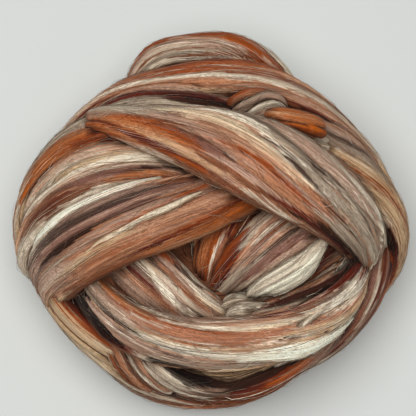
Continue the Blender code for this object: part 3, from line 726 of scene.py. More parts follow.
def linear(shade):
    """Turn an sRGB hex shade into linear red, green and blue."""
    channels = [int(shade[i:i + 2], 16) / 255 for i in (1, 3, 5)]
    return tuple(c / 12.92 if c <= 0.04045 else ((c + 0.055) / 1.055) ** 2.4 for c in channels)


def dyed(name, shade, note):
    return FloatVectorProperty(
        name=name, description=note, subtype="COLOR", size=3, min=0.0, max=1.0,
        default=linear(shade),
    )


def sized(name, note, default, low, high, **kind):
    return FloatProperty(name=name, description=note, default=default, min=low, max=high, **kind)


class ROVING_PG_dyes(bpy.types.PropertyGroup):
    """Colours of the combed wool, two of them with painted shade for its creases and holes"""

    rust: dyed("Rust", "#944008", "Deep red-brown strands")
    copper: dyed("Copper", "#AA6234", "Warm copper strands")
    orange: dyed("Orange", "#AC5208", "Burnt orange strands")
    terracotta: dyed("Terracotta", "#AC6E4E", "Pink-brown strands")
    maroon: dyed("Maroon", "#5C1A0A", "Darkest red strands")
    chestnut: dyed("Chestnut", "#7A462A", "Brown strands")
    rosewood: dyed("Rosewood", "#AE7452", "Blend of rust, grey and cream")
    rosy: dyed("Rosy", "#BE8A6A", "Blend of cream with a little rust")
    peachrose: dyed("Peach rose", "#B57A5A", "Blend of peach and rust")
    peach: dyed("Peach", "#CC9C74", "Light orange strands")
    peachcream: dyed("Peach cream", "#F2D4AE", "Cream with a little peach")
    tan: dyed("Tan", "#CCA880", "Sandy strands")
    putty: dyed("Putty", "#C8B49C", "Greyish cream strands")
    cream: dyed("Cream", "#F0E1C8", "Undyed cream strands")
    ivory: dyed("Ivory", "#FAF4DC", "Lightest strands")
    greyrose: dyed("Grey rose", "#B08C76", "Grey blended with rose")
    mauve: dyed("Mauve", "#84594A", "Purplish brown strands")
    taupe: dyed("Taupe", "#8A6A58", "Grey-brown strands")
    silver: dyed("Silver", "#9A8671", "Grey strands")
    umber: dyed("Umber", "#765A48", "Dark grey-brown strands")
    char: dyed("Char", "#463026", "Darkest grey strands")
    # The last two stand for shade: brown wool with painted shade, and painted shade alone in the holes.
    brown_shade: dyed("Bistre", "#30160A", "Shaded brown strands")
    black_shade: dyed("Black", "#0E0402", "Deepest shade in the creases")


class ROVING_PG_laps(bpy.types.PropertyGroup):
    """Sizes of the combed laps"""

    row_step: sized("Row step", "Distance between rows along a lap (mm)", 2.3, 1.0, 10.0)
    column_step: sized("Column step", "Distance between columns across a lap (mm)", 0.70, 0.3, 5.0)
    turn_coarseness: sized("Turn coarseness", "How much coarser the plain turns are laid", 1.45, 1.0, 4.0)
    sliver_width: sized("Sliver width", "Mean width of the blended slivers (mm)", 4.2, 1.0, 15.0)
    sliver_rise: sized("Sliver rise", "How far each sliver stands out of its lap (mm)", 0.55, 0.0, 3.0)
    hollow_shade: sized("Hollow shade", "How much darker the wool is in wide hollows", 0.56, 0.0, 1.0)
    crease_shade: sized("Crease shade", "How much darker the wool is in narrow creases", 0.80, 0.0, 1.0)
    cover: sized("Cover", "Layers of slivers over any place of a lap", 2.0, 0.5, 5.0)


class ROVING_PG_wisps(bpy.types.PropertyGroup):
    """Sizes of the wisps and loose hairs"""

    lap_spacing: sized(
        "Lap wisp spacing", "Mean distance between the wisps on a lap (mm)", 1.35, 0.5, 20.0
    )
    turn_spacing: sized(
        "Turn wisp spacing", "Mean distance between the wisps on a turn (mm)", 5.5, 0.5, 40.0
    )
    radius: sized("Wisp radius", "Largest radius of a wisp (mm)", 0.18, 0.05, 2.0)
    hair_run: sized("Hair run", "Length of wool to each loose hair at the spacing (mm)", 34.0, 5.0, 5000.0)
    hair_radius: sized("Hair radius", "Radius of a loose hair (mm)", 0.085, 0.01, 0.5)


class ROVING_PG_stage(bpy.types.PropertyGroup):
    """Floor, light and camera"""

    floor_colour: FloatVectorProperty(
        name="Floor", description="Colour of the plain floor", subtype="COLOR", size=3,
        min=0.0, max=1.0, default=linear("#E6E9E6"),
    )
    sky_strength: sized("Room light", "Strength of the even light from all round", 0.22, 0.0, 5.0)
    lamp_power: sized("Lamp power", "Power of the large soft lamp above", 11.9, 0.0, 500.0, unit="POWER")
    view_distance: sized(
        "View distance", "Distance from the camera to the ball", 0.80, 0.2, 5.0, unit="LENGTH"
    )
    view_height: sized(
        "View height", "Angle of the view above the horizon", math.radians(80.0),
        0.0, math.pi / 2, subtype="ANGLE",
    )


# ---- paths and frames of the bands ----

def heart_points(directions):
    """Turn unit directions, one a row, into points on the heart's surface (mm)."""
    spots = np.asarray(directions, float) * HEART_RADII
    behind = spots[:, 1] > 0
    spots[behind, 1] *= HEART_BACK_RADIUS / HEART_RADII[1]
    return spots + HEART_MIDDLE


def blend_sections(rows, steps):
    """Return `steps` sections on a smooth curve through the rows of a lap."""
    points = np.asarray(rows, float)
    spans = np.linalg.norm(np.diff(points[:, :3], axis=0), axis=1)
    knots = np.concatenate(([0.0], np.cumsum(np.sqrt(spans))))
    slopes = np.gradient(points, knots, axis=0)
    at = np.linspace(0.0, knots[-1], steps)
    left = np.clip(np.searchsorted(knots, at, side="right") - 1, 0, len(knots) - 2)
    width = (knots[left + 1] - knots[left])[:, None]
    t = (at - knots[left])[:, None] / width
    start, end = points[left], points[left + 1]
    go, come = slopes[left] * width, slopes[left + 1] * width
    return (
        start * (1 + 2 * t) * (1 - t) ** 2
        + go * t * (1 - t) ** 2
        + end * t * t * (3 - 2 * t)
        + come * t * t * (t - 1)
    )


def unit(vectors):
    return vectors / np.linalg.norm(vectors, axis=-1, keepdims=True)


def soften(vectors, spread):
    """Average each row with its neighbours along the first axis."""
    reach = max(1, int(3 * spread))
    weights = np.exp(-0.5 * (np.arange(-reach, reach + 1) / spread) ** 2)
    weights /= weights.sum()
    padded = np.pad(vectors, ((reach, reach), (0, 0)), mode="edge")
    columns = [np.convolve(column, weights, mode="valid") for column in padded.T]
    return np.stack(columns, axis=1)


def band_frames(centres):
    """Return the outward and sideways directions of a band along its centres."""
    along = unit(np.gradient(centres, axis=0))
    belly = np.asarray(BELLY_RADII)
    out = unit((centres - (0.0, 0.0, BELLY_HEIGHT)) / belly**2)
    out = out - (out * along).sum(axis=1, keepdims=True) * along
    out = soften(out, FRAME_SMOOTHING * len(centres))
    out = unit(out - (out * along).sum(axis=1, keepdims=True) * along)
    return out, np.cross(along, out)


def turn_centres(tilt, heading, shift):
    """Return the closed path of a plain turn that lies on the heart."""
    angles = np.linspace(0.0, 2 * math.pi, TURN_STEPS)
    radius = math.sqrt(1.0 - shift**2)
    level = np.full_like(angles, shift)
    ring = np.stack([radius * np.cos(angles), radius * np.sin(angles), level], axis=1)
    a, b = math.radians(tilt), math.radians(heading)
    tip = np.array([[1, 0, 0], [0, math.cos(a), -math.sin(a)], [0, math.sin(a), math.cos(a)]])
    spin = np.array([[math.cos(b), -math.sin(b), 0], [math.sin(b), math.cos(b), 0], [0, 0, 1]])
    return heart_points(ring @ tip.T @ spin.T)


def even_band(name, centres, widths, thicks, row_step, closed):
    """Return a band whose rows lie evenly along its length."""
    out, side = band_frames(centres)
    spans = np.linalg.norm(np.diff(centres, axis=0), axis=1)
    travelled = np.concatenate(([0.0], np.cumsum(spans)))
    rows = int(round(travelled[-1] / row_step)) + 1
    along = np.linspace(0.0, travelled[-1], rows)

    def at_rows(values):
        return np.stack([np.interp(along, travelled, column) for column in values.T], axis=1)

    return Band(
        name, at_rows(centres), unit(at_rows(out)), unit(at_rows(side)),
        np.interp(along, travelled, widths), np.interp(along, travelled, thicks),
        np.interp(along, travelled, np.linspace(0.0, 1.0, len(centres))), along, closed,
    )


def lap_band(name, rows, row_step):
    sections = blend_sections(rows, LAP_STEPS)
    return even_band(name, sections[:, :3], sections[:, 3], sections[:, 4], row_step, False)


def turn_band(name, tilt, heading, shift, width, thick, row_step):
    centres = turn_centres(tilt, heading, shift)
    count = len(centres)
    return even_band(
        name, centres, np.full(count, float(width)), np.full(count, float(thick)), row_step, True,
    )


# ---- slivers: the combed strands that a band is made of ----

def streak_noise(seed, across, along, cell_across, cell_along):
    """Return smooth noise from -1 to 1, drawn out along the fibres (cells in mm)."""
    grid = np.random.default_rng(seed).uniform(-1.0, 1.0, (NOISE_GRID, NOISE_GRID))
    a, b = across / cell_across, along / cell_along
    i, j = np.floor(a).astype(int), np.floor(b).astype(int)
    u, v = a - i, b - j
    u, v = u * u * (3 - 2 * u), v * v * (3 - 2 * v)

    def corner(di, dj):
        return grid[(i + di) % NOISE_GRID, (j + dj) % NOISE_GRID]

    near = corner(0, 0) * (1 - u) + corner(1, 0) * u
    far = corner(0, 1) * (1 - u) + corner(1, 1) * u
    return near * (1 - v) + far * v


def section_sizes(band, place):
    """Return the angle, half width and depth of each row's section at places round it."""
    deep = band.thicks[:, None] / 2 + np.where(np.abs(place) > 1.0, BAND_ROOT, 0.0)
    return place * math.pi / 2, band.widths[:, None] / 2, deep


def section_shape(band, place):
    """Return offsets and normals, sideways and outwards, at places round each row."""
    angle, half, deep = section_sizes(band, place)
    if not band.closed:
        left = np.minimum(band.along, band.along[-1] - band.along)[:, None]
        reach = min(BLUNT_ENDS.get(band.name, END_ROUNDING), 0.5 * band.widths.max())
        gap = np.clip(1 - left / reach, 0.0, END_CLOSING)
        half, deep = half * np.sqrt(1 - gap**2), deep * np.sqrt(1 - gap**2)
    offset = np.stack([half * np.sin(angle), deep * np.cos(angle)], axis=-1)
    normal = unit(np.stack([deep * np.sin(angle), half * np.cos(angle)], axis=-1))
    return offset, normal


def running_total(steps):
    return np.concatenate([np.zeros((len(steps), 1)), np.cumsum(steps, axis=1)], axis=1)


def girth_table(band):
    """Return the distance round each row's section at the places of ROUND (mm).

    The hidden inner side is counted for less.
    """
    place = np.broadcast_to(ROUND, (len(band.along), len(ROUND)))
    angle, half, deep = section_sizes(band, place)
    points = np.stack([half * np.sin(angle), deep * np.cos(angle)], axis=-1)
    girth = running_total(np.linalg.norm(np.diff(points, axis=1), axis=-1))
    girth -= girth[:, [len(ROUND) // 2]]
    middle = np.abs(ROUND[1:] + ROUND[:-1]) / 2
    inner = np.clip((middle - INNER_FROM) / (INNER_TO - INNER_FROM), 0.0, 1.0)
    return running_total(np.diff(girth, axis=1) * (1 - inner * (1 - INNER_SHARE)))


def girth_at(girth, places):
    """Return the distance round each row's section at one place on it (mm)."""
    return np.array([np.interp(place, ROUND, row) for place, row in zip(places, girth)])


def streak_places(band, knots):
    """Return a streak's place round the section at each row, and how full it is there."""
    at, value = np.array(knots).T / 100
    places = soften(np.interp(band.place, at, value)[:, None], STREAK_ROUNDING)[:, 0]
    reach = STREAK_FADE / 2
    inside = np.minimum(band.place - at[0] + reach, at[-1] + reach - band.place) / STREAK_FADE
    return places, np.clip(inside, 0.0, 1.0)


def lay_of(band):
    """Return how far the fibres of a lap have turned round it at each row.

    It is the mean turn of the lap's streaks, so that all its wool runs as they do.
    """
    turning = np.zeros(len(band.place))
    weight = np.full(len(band.place), LAY_REST)
    for dye, width, *knots in STREAKS.get(band.name, ()):
        places, full = streak_places(band, knots)
        turning += width * full * np.gradient(places, band.place)
        weight += width * full
    turning = soften((turning / weight)[:, None], LAY_ROUNDING)[:, 0]
    lay = np.cumsum(turning * np.gradient(band.place))
    return np.clip(lay - lay[len(lay) // 2], -LAY_LIMIT, LAY_LIMIT)


def streak_rows(band, girth, lay_girth, dyes, rise):
    """Yield the course, half width, foot, crest, depth and colour of each streak."""
    total = girth[:, -1]
    for order, (dye, width, *knots) in enumerate(STREAKS.get(band.name, ())):
        places, full = streak_places(band, knots)
        course = (girth_at(girth, places) - lay_girth) / total
        half = np.maximum(width / 2 * full**0.8, THINNEST)
        foot = np.where(full > 0, STREAK_FOOT, HIDDEN)
        crest = foot + rise * (STREAK_RISE + STREAK_RISE_PER_MM * width) * full + STREAK_STEP * order
        yield course, half, foot, crest, SUNK.get(dye, 0.0), np.array(getattr(dyes, dye))


def blend_of(band):
    return BLENDS.get(band.name, BLENDS["turn"])


def blend_rows(band, total, dyes, sizes, seed):
    """Yield the course, half width, foot, crest, depth and colour of each sliver."""
    rng = np.random.default_rng(seed)
    blend = blend_of(band)
    if band.closed:
        blend = [blend[int(i)] for i in rng.permutation(len(blend))[:TURN_COLOURS]]
    count = int(sizes.cover * total.mean() / sizes.sliver_width)
    for _ in range(count):
        length = rng.uniform(*SLIVER_LENGTHS)
        start = rng.uniform(-SLIVER_OVERHANG, 1 + SLIVER_OVERHANG - length)
        middle, drift, wave, phase = rng.uniform(
            (-0.5, -SLIVER_DRIFT, 0, 0), (0.5, SLIVER_DRIFT, SLIVER_WAVE, FULL_TURN)
        )
        width = sizes.sliver_width * rng.lognormal(0.0, SLIVER_SPREAD)
        full = np.minimum(band.place - start, start + length - band.place) / SLIVER_FADE
        full = np.clip(full, 0.0, 1.0)
        waves = wave * np.sin(SLIVER_PACE * band.place + phase)
        course = middle + drift * (band.place - 0.5) + waves
        half = np.maximum(width / 2 * (total / total.mean()) * full**0.5, THINNEST)
        foot = np.where(full > 0, rng.uniform(*SLIVER_FEET), HIDDEN)
        crest = foot + sizes.sliver_rise * (SLIVER_RISE + SLIVER_RISE_PER_MM * width) * full
        dye = np.array(getattr(dyes, blend[int(len(blend) * rng.random() ** FIRST_COLOURS)]))
        yield course, half, foot, crest, 0.0, dye * rng.uniform(*SLIVER_TONES)


def pile_strands(strands, frayed, total, dye):
    """Pile strands up, over wool of one dye, and return what shows of them.

    The highest strand shows at each place, and the one below it strays into it. The
    fields returned are the heights of both, the depth, and the colours of both.
    """
    highest = np.full(frayed.shape, -1.0)
    second = np.full(frayed.shape, -2.0)
    sunk = np.zeros(frayed.shape)
    sliver = np.broadcast_to(np.array(dye), frayed.shape + (3,)).copy()
    stray = sliver.copy()
    for course, half, foot, crest, depth, dye in strands:
        gap = (frayed - course[:, None] + 0.5) % 1.0 - 0.5
        u = (gap * total[:, None] / half[:, None]) ** 2
        rise = (crest - foot)[:, None]
        height = foot[:, None] + rise * (1 - np.where(u > 1, 1 + (u - 1) * SIDE_FALL, u))
        wins = height > highest
        close = ~wins & (height > second)
        stray = np.where(wins[..., None], sliver, np.where(close[..., None], dye, stray))
        second = np.where(wins, highest, np.where(close, height, second))
        sliver = np.where(wins[..., None], dye, sliver)
        sunk = np.where(wins, depth, sunk)
        highest = np.where(wins, height, highest)
    return highest, second, sunk, sliver, stray


def comb_band(band, dyes, sizes, seed, coarseness=1.0):
    """Lay slivers side by side over a band and return its surface as Wool."""
    girth = girth_table(band)
    total = girth[:, -1]
    lay_girth = girth_at(girth, lay_of(band))
    count = int(round(total.mean() / (sizes.column_step * coarseness)))
    column = np.arange(count) / count - 0.5
    place = np.stack([
        np.interp((column * row[-1] + start) % row[-1], row, ROUND)
        for row, start in zip(girth, lay_girth)
    ])
    across = np.broadcast_to(column * total.mean(), place.shape)
    along = np.broadcast_to(band.along[:, None], place.shape)

    def noise(kind):
        number, wide, long, strength = NOISES[kind]
        return strength * streak_noise(seed + number, across, along, wide, long)

    frayed = column + (noise("fray") + noise("fine_fray")) / total[:, None]
    strands = [
        *blend_rows(band, total, dyes, sizes, seed),
        *streak_rows(band, girth, lay_girth, dyes, sizes.sliver_rise),
    ]
    dye = getattr(dyes, blend_of(band)[0])
    highest, second, sunk, sliver, stray = pile_strands(strands, frayed, total, dye)

    # Where both lie at one height, their fibres mix and the groove between them fills.
    closeness = np.exp(-np.maximum(highest - second, 0.0) / APART)
    deep = sunk[..., None] > DEEP
    stray = np.where(deep, DEEP_OWN * sliver + (1 - DEEP_OWN) * stray, stray)
    shade = 1 + noise("tone")
    vein = np.clip(noise("vein") - VEIN_FROM, 0.0, VEIN_MOST)
    sliver = (sliver + (stray - sliver) * vein[..., None]) * shade[..., None]
    depth = sunk * (1 - SUNK_EASE * closeness)
    lift = highest - WOOL_LEVEL - depth + noise("swell") + noise("ripple")
    offset, normal = section_shape(band, place)
    offset = offset + normal * lift[..., None]
    points = (
        band.centres[:, None]
        + band.side[:, None] * offset[..., :1]
        + band.out[:, None] * offset[..., 1:]
    )
    normals = band.side[:, None] * normal[..., :1] + band.out[:, None] * normal[..., 1:]
    sliver = np.concatenate([sliver, closeness[..., None]], axis=-1)
    return Wool(band, points, normals, place, total, sliver, stray)


# ---- shade in the creases ----

def ring_faces(rows, columns, first=0, closed=False):
    """Return the quads between rings of points, whose last ring is the first if closed."""
    ring = np.arange(columns)
    following = (ring + 1) % columns
    start = first + columns * np.arange(rows - 1)[:, None]
    ahead = first + columns * (np.arange(1, rows) % (rows - 1 if closed else rows))[:, None]
    quads = np.stack([start + ring, start + following, ahead + following, ahead + ring], axis=-1)
    return quads.reshape(-1, 4).tolist()


def crease_tree(wools):
    """Return a tree of all the wool, at some of its rows and columns, for ray casts."""
    points, faces = [], []
    for wool in wools:
        coarse = wool.points[::CREASE_STEP, ::CREASE_STEP]
        faces += ring_faces(*coarse.shape[:2], len(points))
        points += coarse.reshape(-1, 3).tolist()
    return BVHTree.FromPolygons(points, faces)


def sample(field, row, column):
    """Read a field between the rows and columns on which it is known round a band."""
    rows, columns = field.shape[:2]
    i = np.clip(row.astype(int), 0, rows - 2)
    j = np.floor(column).astype(int)
    u, v = (row - i)[..., None], (column - j)[..., None]
    j, k = j % columns, (j + 1) % columns
    near = field[i, j] * (1 - v) + field[i, k] * v
    far = field[i + 1, j] * (1 - v) + field[i + 1, k] * v
    return near * (1 - u) + far * u


def closed_in(wool, tree):
    """Return how far each place is shut in, from 0 to 1: in a hollow, and in a crease."""
    points = wool.points[::CREASE_STEP, ::CREASE_STEP]
    normals = wool.normals[::CREASE_STEP, ::CREASE_STEP]
    closed = np.zeros(points.shape[:2] + (2,))
    for i in range(points.shape[0]):
        for j in range(points.shape[1]):
            normal = Vector(normals[i, j])
            start = Vector(points[i, j]) + normal * CREASE_LIFT
            for way in CREASE_RAYS:
                heading = (normal * RAY_LEAN + Vector(way)).normalized()
                distance = tree.ray_cast(start, heading, HOLLOW_REACH)[3]
                if distance is not None:
                    closed[i, j, 0] += 1 - FAR_WALL * distance / HOLLOW_REACH
                    closed[i, j, 1] += max(1 - distance / CREASE_REACH, 0.0)
    closed /= len(CREASE_RAYS)
    rows, columns = wool.place.shape
    row = np.minimum(np.arange(rows) / CREASE_STEP, closed.shape[0] - 1)
    column = np.arange(columns) / CREASE_STEP
    return np.moveaxis(sample(closed, row[:, None], column[None]), -1, 0)


def shade_creases(wools, hollow_shade, crease_shade):
    """Darken the wool where laps press together, as light doesn't reach between fibres.

    What light gets there has met dyed wool on its way, so it is also redder.
    """
    tree = crease_tree(wools)
    shaded = []
    for wool in wools:
        hollow, crease = closed_in(wool, tree)
        narrow = np.minimum(crease * CREASE_GAIN, 1.0)
        kept = (1 - hollow_shade * hollow**HOLLOW_CURVE) * (1 - crease_shade * narrow)
        tinted = np.maximum(kept, DARKEST)[..., None] ** np.array(CREASE_TINT)
        sliver = wool.sliver.copy()
        sliver[..., :3] *= tinted
        shaded.append(wool._replace(sliver=sliver, stray=wool.stray * tinted))
    return shaded


# ---- meshes ----

def rest_on_floor(points):
    """Ease what would lie below the floor into the ball's flat spot."""
    eased = points.copy()
    height = points[:, 2]
    eased[:, 2] = (height + np.sqrt(height**2 + FLAT_SOFTNESS**2)) / 2
    return eased


def tube_faces(rows, columns, first=0):
    """Return the faces of a tube of rings, with both its ends closed."""
    ring = np.arange(columns)
    faces = ring_faces(rows, columns, first)
    faces.append((first + ring[::-1]).tolist())
    faces.append((first + (rows - 1) * columns + ring).tolist())
    return faces


def tube_rings(paths, normals, radii):
    """Return the ring points of fine tubes along (count, steps, 3) paths."""
    along = unit(np.gradient(paths, axis=1))
    side = unit(np.cross(along, normals))
    up = np.cross(side, along)
    turns = np.arange(TUBE_SIDES) * 2 * math.pi / TUBE_SIDES + math.pi / 2
    ring = side[:, :, None] * np.cos(turns)[:, None] + up[:, :, None] * np.sin(turns)[:, None]
    return paths[:, :, None] + ring * radii[:, :, None, None]


def hold_attribute(data, name, kind, field, values):
    layer = data.attributes.new(name, kind, "POINT")
    layer.data.foreach_set(field, np.ascontiguousarray(values, dtype=np.float32).ravel())


def add_piece(name, points, faces, sliver, stray, fibre, material):
    """Add a piece of wool with its colours and fibre places, riding on the ball."""
    data = bpy.data.meshes.new(name)
    data.from_pydata((rest_on_floor(points) * MM).tolist(), [], faces)
    data.validate()
    stray = np.concatenate([stray, np.ones((len(stray), 1))], axis=1)
    hold_attribute(data, "sliver", "FLOAT_COLOR", "color", sliver)
    hold_attribute(data, "stray", "FLOAT_COLOR", "color", stray)
    hold_attribute(data, "fibre", "FLOAT_VECTOR", "vector", fibre)
    data.shade_smooth()
    data.materials.append(material)
    piece = bpy.data.objects.new(name, data)
    bpy.context.scene.collection.objects.link(piece)
    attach(piece, "root")
    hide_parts("roving_ball")
    return piece


# ---- wisps ----

def tint_of(rng, own, other, dyes):
    """Pick a tube's colour, mostly that of the wool under it."""
    pick = rng.random()
    tints = (own, other, np.array(dyes.cream), np.array(dyes.char))
    for tint, (share, *tones) in zip(tints, TUBE_TINTS):
        if pick < share:
            return tint * rng.uniform(*tones)


def lay_tubes(wool, dyes, kind, count, radius, seed):
    """Return rings, colours and places of fine tubes of a kind that run over a band."""
    rng = np.random.default_rng(seed)
    rows, columns = wool.place.shape
    length = wool.band.along[-1]
    shape = (count, kind.steps)
    paths, normals = np.zeros(shape + (3,)), np.zeros(shape + (3,))
    colours, strays = np.zeros(shape + (4,)), np.zeros(shape + (3,))
    travelled = np.zeros(shape)
    s = np.linspace(-0.5, 0.5, kind.steps)
    spreads = kind.stray * np.array(TUBE_SPREADS)
    for k in range(count):
        span = min(rng.uniform(*kind.spans), TUBE_LONGEST * length)
        middle = rng.uniform(TUBE_INSET * span, length - TUBE_INSET * span)
        at = np.clip(middle + s * span, 0.0, length)
        row = np.minimum(at / length * (rows - 1), rows - 1.001)
        start = rng.uniform(0, columns)
        while abs(wool.place[int(row[kind.steps // 2]), int(start)]) > WISP_REACH:
            start = rng.uniform(0, columns)
        turn, bow, curl = rng.normal(0.0, spreads) * span
        phase, waves = rng.uniform((0, TUBE_WAVES[0]), (FULL_TURN, TUBE_WAVES[1]))
        off = turn * s + bow * (1 - 4 * s * s) + curl * np.sin(FULL_TURN * waves * s + phase)
        column = start + off / wool.girth[row.astype(int)] * columns
        lift = rng.uniform(*kind.lifts) + kind.wave * np.sin(TUBE_PACE * waves * s + phase)
        normals[k] = sample(wool.normals, row, column)
        paths[k] = sample(wool.points, row, column) + normals[k] * lift[:, None]
        own = sample(wool.sliver, row, column)[:, :3].mean(axis=0)
        other = sample(wool.stray, row, column).mean(axis=0)
        tint = tint_of(rng, own, other, dyes)
        colours[k] = (*tint, TUBE_CLOSENESS)
        strays[k] = tint * TUBE_TONE
        travelled[k] = at
    taper = np.clip(np.sin(np.linspace(0.0, math.pi, kind.steps)) ** TUBE_TAPER, TUBE_TIP, 1.0)
    radii = radius * rng.uniform(*TUBE_RADII, (count, 1)) * taper
    return tube_rings(paths, unit(normals), radii), colours, strays, travelled


def lay_wisps(wool, dyes, sizes, spacing, seed):
    """Return the wisps that lie on a band, and the finer hairs that stand off it."""
    outer = (np.abs(wool.place) < WISP_REACH).mean() * wool.girth.mean()
    area = outer * wool.band.along[-1]
    wisps, hairs = int(area / (spacing * WISP_RUN)), int(area / (spacing * sizes.hair_run))
    return (
        lay_tubes(wool, dyes, WISP, wisps, sizes.radius, seed),
        lay_tubes(wool, dyes, HAIR, hairs, sizes.hair_radius, seed + HAIR_SEED),
    )


def join_wisps(wool, tubes):
    """Return one mesh's points, faces, colours and fibre places: a band and its wisps."""
    rows, columns = wool.place.shape
    across = np.broadcast_to(np.arange(columns) / columns * wool.girth.mean(), wool.place.shape)
    along = np.broadcast_to(wool.band.along[:, None], wool.place.shape)
    points = [wool.points.reshape(-1, 3)]
    slivers = [wool.sliver.reshape(-1, 4)]
    strays = [wool.stray.reshape(-1, 3)]
    fibres = [np.stack([across, along, np.zeros_like(along)], axis=-1).reshape(-1, 3)]
    closed = wool.band.closed
    faces = ring_faces(rows, columns, closed=True) if closed else tube_faces(rows, columns)
    first = rows * columns
    for rings, sliver, stray, travelled in tubes:
        count, steps = travelled.shape
        for k in range(count):
            faces += tube_faces(steps, TUBE_SIDES, first + k * steps * TUBE_SIDES)
        first += count * steps * TUBE_SIDES
        shape = rings.shape[:3]
        own = np.broadcast_to(np.arange(count)[:, None, None], shape)
        side = np.broadcast_to(np.arange(TUBE_SIDES) * SIDE_SPREAD, shape)
        far = np.broadcast_to(travelled[:, :, None], shape)
        points.append(rings.reshape(-1, 3))
        slivers.append(np.broadcast_to(sliver[:, :, None], shape + (4,)).reshape(-1, 4))
        strays.append(np.broadcast_to(stray[:, :, None], shape + (3,)).reshape(-1, 3))
        places = [side + own * OWN_SPREAD[0], far, own * OWN_SPREAD[1]]
        fibres.append(np.stack(places, axis=-1).reshape(-1, 3))
    return (np.concatenate(points), faces, *map(np.concatenate, (slivers, strays, fibres)))


# ---- material ----

# Noise drawn out along the wool: width and length of its cells (mm), slant (radians)
# and its own place. The lines are 0.3 to 0.9 mm wide, the fluff marks wide areas.
LINES = {
    "fine": (0.30, 22.0, 0.05, 0.0),
    "crossing": (0.34, 14.0, -0.09, 7.0),
    "broad": (0.90, 60.0, 0.0, 3.0),
    "parting": (0.45, 40.0, 0.015, 5.0),
    "fluff": (16.0, 30.0, 0.3, 29.0),
}

# What each of these becomes: its range, and the range of tones, shares or roughness.
RANGES = {
    "fine": (0.34, 0.66, 0.74, 1.28),
    "crossing": (0.34, 0.66, 0.80, 1.22),
    "broad": (0.3, 0.7, 0.80, 1.18),
    "parting": (0.57, 0.69, 0.0, 1.0),
    "fluff": (0.35, 0.62, 0.20, 0.80),
    "hair": (0.012, 0.05, 1.0, 0.0),
    "light": (0.01, 0.10, 0.10, 1.0),
    "roughness": (0.3, 0.7, 0.62, 0.80),
}

# Three layers of loose hairs: cells of their noise, slant and place, as for LINES.
FRIZZ = ((1.4, 6.0, 0.55, 11.0), (1.2, 5.0, -0.7, 17.0), (0.9, 8.0, 0.18, 23.0))

# How much nearer to parting the fibres are where two strands meet.
MEETING = 0.13

# A loose hair is paler than the wool under it, partly as a single fibre is and partly as painted sheen
# where it catches the light: its colour is multiplied, then raised.
HAIR_GAIN = (1.45, 1.55, 1.65)
HAIR_LIGHT = (0.045, 0.040, 0.034)

# Refraction of wool's keratin, its soft gloss and the faint sheen of its ends.
WOOL_FINISH = {
    "IOR": 1.54, "Specular IOR Level": 0.12, "Sheen Weight": 0.03, "Sheen Roughness": 0.6,
}

# Relief that the lines give the wool.
RELIEF_HEIGHT = 0.0005    # m
RELIEF_STRENGTH = 0.9
BROAD_RELIEF = 0.6        # part of the broad lines in it
SILK_RELIEF = 0.25        # part of the silky lines in it


def add_node(tree, kind, settings, sockets):
    """Add a node, set its properties, and set or link its inputs."""
    made = tree.nodes.new(kind)
    for name, value in settings.items():
        setattr(made, name, value)
    for key, value in sockets.items():
        if isinstance(value, bpy.types.NodeSocket):
            tree.links.new(value, made.inputs[key])
        else:
            made.inputs[key].default_value = value
    return made


